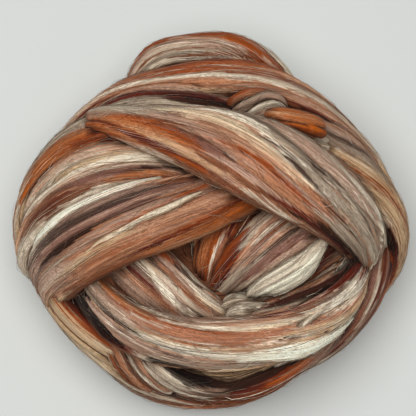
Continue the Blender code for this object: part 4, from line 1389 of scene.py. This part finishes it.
def combed_wool():
    """Make the finish of merino top, combed so that its fibres lie side by side.

    Single fibres are too fine to see, but small bundles of them show as silky lines,
    lighter and darker, that run along the strand. Where two colours meet, their
    fibres run between each other. The lines are drawn much coarser than the real
    0.02 mm fibres, as fine as a picture of the whole ball can show them.
    """
    material = bpy.data.materials.get("combed_merino_top")
    if material:
        return material
    material = bpy.data.materials.new("combed_merino_top")
    material.use_nodes = True
    tree = material.node_tree
    shader = tree.nodes["Principled BSDF"]
    sliver, stray, fibre = (
        add_node(tree, "ShaderNodeAttribute", {"attribute_name": name}, {})
        for name in ("sliver", "stray", "fibre")
    )

    def lines(across, along, slant, seed, detail=1.0):
        """Lines of a width and length in mm, at a slant to the lay of the wool."""
        turned = add_node(tree, "ShaderNodeVectorRotate", {"rotation_type": "Z_AXIS"}, {
            "Vector": fibre.outputs["Vector"], "Angle": slant,
        })
        scaled = add_node(tree, "ShaderNodeVectorMath", {"operation": "MULTIPLY_ADD"}, {
            0: turned.outputs[0], 1: (1 / across, 1 / along, 1.0), 2: (0.0, 0.0, seed),
        })
        noise = add_node(tree, "ShaderNodeTexNoise", {}, {
            "Vector": scaled.outputs[0], "Scale": 1.0, "Detail": detail, "Roughness": 0.5,
        })
        return noise.outputs["Fac"]

    def remap(value, kind):
        low, high, to_low, to_high = RANGES[kind]
        return add_node(tree, "ShaderNodeMapRange", {}, {
            0: value, 1: low, 2: high, 3: to_low, 4: to_high,
        }).outputs[0]

    def maths(operation, first, second):
        return add_node(tree, "ShaderNodeMath", {"operation": operation}, {
            0: first, 1: second,
        }).outputs[0]

    def hairs(layer):
        """Thin wandering hairs: where a smooth noise passes its middle."""
        off = maths("ABSOLUTE", maths("SUBTRACT", lines(*layer, detail=0.0), 0.5), 0.0)
        return remap(off, "hair")

    fine, crossing, broad, parting, fluff = (lines(*LINES[name]) for name in LINES)

    # Fibres of the neighbour's colour, most where two strands meet.
    meeting = maths("MULTIPLY", sliver.outputs["Alpha"], MEETING)
    mask = remap(maths("ADD", parting, meeting), "parting")
    blended = add_node(tree, "ShaderNodeMix", {"data_type": "RGBA"}, {
        0: mask, 6: sliver.outputs["Color"], 7: stray.outputs["Color"],
    })

    # Silky lines, lighter and darker, over broader and softer ones.
    silk = maths("MULTIPLY", remap(fine, "fine"), remap(crossing, "crossing"))
    shade = maths("MULTIPLY", silk, remap(broad, "broad"))
    coloured = add_node(tree, "ShaderNodeVectorMath", {"operation": "SCALE"}, {
        0: blended.outputs[2], "Scale": shade,
    })

    # Loose hairs, paler in part as painted sheen: more of them in fluffy areas, and fewer where the wool is
    # dark, in dark dyes and in the painted shade of creases.
    paler = add_node(tree, "ShaderNodeVectorMath", {"operation": "MULTIPLY_ADD"}, {
        0: blended.outputs[2], 1: HAIR_GAIN, 2: HAIR_LIGHT,
    })
    first, second, third = (hairs(layer) for layer in FRIZZ)
    frizz = maths("MAXIMUM", maths("MAXIMUM", first, second), third)
    fluffy = maths("MULTIPLY", frizz, remap(fluff, "fluff"))
    haired = add_node(tree, "ShaderNodeMix", {"data_type": "RGBA"}, {
        0: maths("MULTIPLY", fluffy, remap(blended.outputs[2], "light")),
        6: coloured.outputs[0], 7: paler.outputs[0],
    })
    broad_relief = maths("MULTIPLY", broad, BROAD_RELIEF)
    bump = add_node(tree, "ShaderNodeBump", {}, {
        "Strength": RELIEF_STRENGTH, "Distance": RELIEF_HEIGHT,
        "Height": maths("ADD", broad_relief, maths("MULTIPLY", silk, SILK_RELIEF)),
    })
    tree.links.new(haired.outputs[2], shader.inputs["Base Color"])
    tree.links.new(remap(fine, "roughness"), shader.inputs["Roughness"])
    tree.links.new(bump.outputs[0], shader.inputs["Normal"])
    for name, value in WOOL_FINISH.items():
        shader.inputs[name].default_value = value
    return material


def smooth_floor():
    """Make the plain painted board under the ball: pale, matt and barely mottled."""
    material = bpy.data.materials.new("painted_board")
    material.use_nodes = True
    tree = material.node_tree
    shader = tree.nodes["Principled BSDF"]
    colour = bpy.context.scene.roving_stage.floor_colour
    spot = add_node(tree, "ShaderNodeTexCoord", {}, {})
    mottle = add_node(tree, "ShaderNodeTexNoise", {}, {
        "Vector": spot.outputs["Object"], "Scale": 6.0, "Detail": 2.0,
    })
    tone = add_node(tree, "ShaderNodeMapRange", {}, {
        0: mottle.outputs["Fac"], 1: 0.3, 2: 0.7, 3: 0.99, 4: 1.01,
    })
    shaded = add_node(tree, "ShaderNodeVectorMath", {"operation": "SCALE"}, {
        0: tuple(colour), "Scale": tone.outputs[0],
    })
    tree.links.new(shaded.outputs[0], shader.inputs["Base Color"])
    shader.inputs["Roughness"].default_value = 0.9
    return material


# ---- operators ----

# Mesh of the heart.
HEART_RINGS = 48
HEART_SIDES = 96
HEART_POLE = 0.02                # angle left open at its poles (radians)
HEART_MEAN_RADII = (60.0, 70.0)  # radii at which its fibres' places are measured (mm)
HEART_WAVES = (5, 4.0, 30.0)     # seed and cells of its waves (mm)
HEART_TONE = 0.8                 # its tone, as it lies in the shade
HEART_CLOSENESS = 0.4            # how near its strands lie, for the material

# Stage: places and sizes in metres, but for the camera's.
FLOOR_REACH = 1.6
LAMP_WIDTH = 1.0
LAMP_PLACE = (-0.10, -0.02, 1.25)
LAMP_AIM = (0.0, 0.0, 0.05)
VIEW_AIM = (-0.0022, 0.0061, 0.050)
LENS = 138.5                     # focal length (mm)
SENSOR = 36.0                    # width (mm)
SKY_TINT = (0.97, 1.0, 0.985, 1.0)


class ROVING_OT_heart(bpy.types.Operator):
    """Pack the wool heart on which the laps lie"""

    bl_idname = "roving.heart"
    bl_label = "Pack heart"

    def execute(self, context):
        dyes = context.scene.roving_dyes
        polar = np.linspace(HEART_POLE, math.pi - HEART_POLE, HEART_RINGS)[:, None]
        turn = np.linspace(0.0, 2 * math.pi, HEART_SIDES, endpoint=False)[None]
        directions = np.stack([
            np.sin(polar) * np.cos(turn), np.sin(polar) * np.sin(turn),
            np.cos(polar) * np.ones_like(turn),
        ], axis=-1).reshape(-1, 3)
        points = heart_points(directions)
        reach = np.sum(((points[:, :2] - WELL_MIDDLE) / WELL_RADII) ** 2, axis=1)
        points[:, 2] -= WELL_DEPTH * np.exp(-(reach**2)) * np.maximum(directions[:, 2], 0.0)
        across = (polar * HEART_MEAN_RADII[0] * np.ones_like(turn)).ravel()
        along = (turn * HEART_MEAN_RADII[1] * np.ones_like(polar)).ravel()
        seed, *cells = HEART_WAVES
        points += directions * streak_noise(seed, across, along, *cells)[:, None]
        # Painted shade: the heart is darker, with shaded brown between its strands, as it lies in the
        # shade.
        dye = HEART_TONE * np.array(dyes.chestnut)
        sliver = np.tile((*dye, HEART_CLOSENESS), (len(points), 1))
        stray = np.tile(np.array(dyes.brown_shade), (len(points), 1))
        fibre = np.stack([across, along, np.zeros_like(along)], axis=1)
        faces = [face[::-1] for face in tube_faces(HEART_RINGS, HEART_SIDES)]
        add_piece("heart", points, faces, sliver, stray, fibre, combed_wool())
        return {"FINISHED"}


class ROVING_OT_wind(bpy.types.Operator):
    """Wind the plain turns and lay the laps and small strands over them"""

    bl_idname = "roving.wind"
    bl_label = "Wind wool"

    def execute(self, context):
        scene = context.scene
        dyes, laps, wisps = scene.roving_dyes, scene.roving_laps, scene.roving_wisps
        coarse = laps.turn_coarseness
        wools = []
        for number, row in enumerate(TURNS):
            band = turn_band(f"turn_{number + 1}", *row, laps.row_step * coarse)
            wools.append(comb_band(band, dyes, laps, TURN_SEED + SEED_STEP * number, coarse))
        for number, (name, rows) in enumerate({**LAPS, **STRANDS}.items()):
            band = lap_band(name, rows, laps.row_step)
            wools.append(comb_band(band, dyes, laps, SEED_STEP * number))
        for number, wool in enumerate(shade_creases(wools, laps.hollow_shade, laps.crease_shade)):
            spacing = wisps.turn_spacing if wool.band.closed else wisps.lap_spacing
            if wool.band.name in STRANDS:
                spacing *= STRAND_FLUFF
            laid = lay_wisps(wool, dyes, wisps, spacing, WISP_SEED + number)
            add_piece(wool.band.name, *join_wisps(wool, laid), combed_wool())
        return {"FINISHED"}


def facing(way):
    """Return the rotation of a lamp or camera that looks along a direction."""
    return way.to_track_quat("-Z", "Y").to_euler()


class ROVING_OT_stage(bpy.types.Operator):
    """Set the pale floor, the soft light and the camera"""

    bl_idname = "roving.stage"
    bl_label = "Set stage"

    def execute(self, context):
        scene = context.scene
        stage = scene.roving_stage
        data = bpy.data.meshes.new("floor")
        corners = [(x, y, 0) for x, y in ((-1, -1), (1, -1), (1, 1), (-1, 1))]
        data.from_pydata([Vector(corner) * FLOOR_REACH for corner in corners], [], [(0, 1, 2, 3)])
        data.materials.append(smooth_floor())
        floor = bpy.data.objects.new("floor", data)
        lamp_data = bpy.data.lights.new("soft_lamp", "AREA")
        lamp_data.shape = "DISK"
        lamp_data.size = LAMP_WIDTH
        lamp_data.energy = stage.lamp_power
        lamp = bpy.data.objects.new("soft_lamp", lamp_data)
        lamp.location = LAMP_PLACE
        lamp.rotation_euler = facing(Vector(LAMP_AIM) - lamp.location)
        camera_data = bpy.data.cameras.new("camera")
        camera_data.lens = LENS
        camera_data.sensor_width = SENSOR
        camera = bpy.data.objects.new("camera", camera_data)
        back = Vector((0.0, -math.cos(stage.view_height), math.sin(stage.view_height)))
        camera.location = Vector(VIEW_AIM) + back * stage.view_distance
        camera.rotation_euler = facing(-back)
        for thing in (floor, lamp, camera):
            scene.collection.objects.link(thing)
        floor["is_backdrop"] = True
        scene.camera = camera
        world = bpy.data.worlds.new("even_room")
        world.use_nodes = True
        sky = world.node_tree.nodes["Background"]
        sky.inputs["Color"].default_value = SKY_TINT
        sky.inputs["Strength"].default_value = stage.sky_strength
        scene.world = world
        scene.view_settings.view_transform = "Standard"
        return {"FINISHED"}


class ROVING_PT_panel(bpy.types.Panel):
    """Lists the sizes, colours and steps of the ball"""

    bl_idname = "ROVING_PT_panel"
    bl_label = "Wool roving ball"
    bl_space_type = "VIEW_3D"
    bl_region_type = "UI"
    bl_category = "Roving"

    def draw(self, context):
        for operator in OPERATORS:
            self.layout.operator(operator.bl_idname)
        for group in GROUPS:
            settings = getattr(context.scene, group)
            for name in settings.__annotations__:
                self.layout.prop(settings, name)


GROUPS = {
    "roving_dyes": ROVING_PG_dyes,
    "roving_laps": ROVING_PG_laps,
    "roving_wisps": ROVING_PG_wisps,
    "roving_stage": ROVING_PG_stage,
}
OPERATORS = (ROVING_OT_heart, ROVING_OT_wind, ROVING_OT_stage)


def register():
    for name, group in GROUPS.items():
        bpy.utils.register_class(group)
        setattr(bpy.types.Scene, name, PointerProperty(type=group))
    for kind in (*OPERATORS, ROVING_PT_panel):
        bpy.utils.register_class(kind)


def unregister():
    for kind in (ROVING_PT_panel, *reversed(OPERATORS)):
        bpy.utils.unregister_class(kind)
    for name, group in reversed(GROUPS.items()):
        delattr(bpy.types.Scene, name)
        bpy.utils.unregister_class(group)


def main():
    register()
    bpy.ops.roving.heart()
    bpy.ops.roving.wind()
    bpy.ops.roving.stage()
    box = [[list(corner) for corner in box] for box in (CAD_BOX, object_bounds())]


if __name__ == "__main__":
    main()
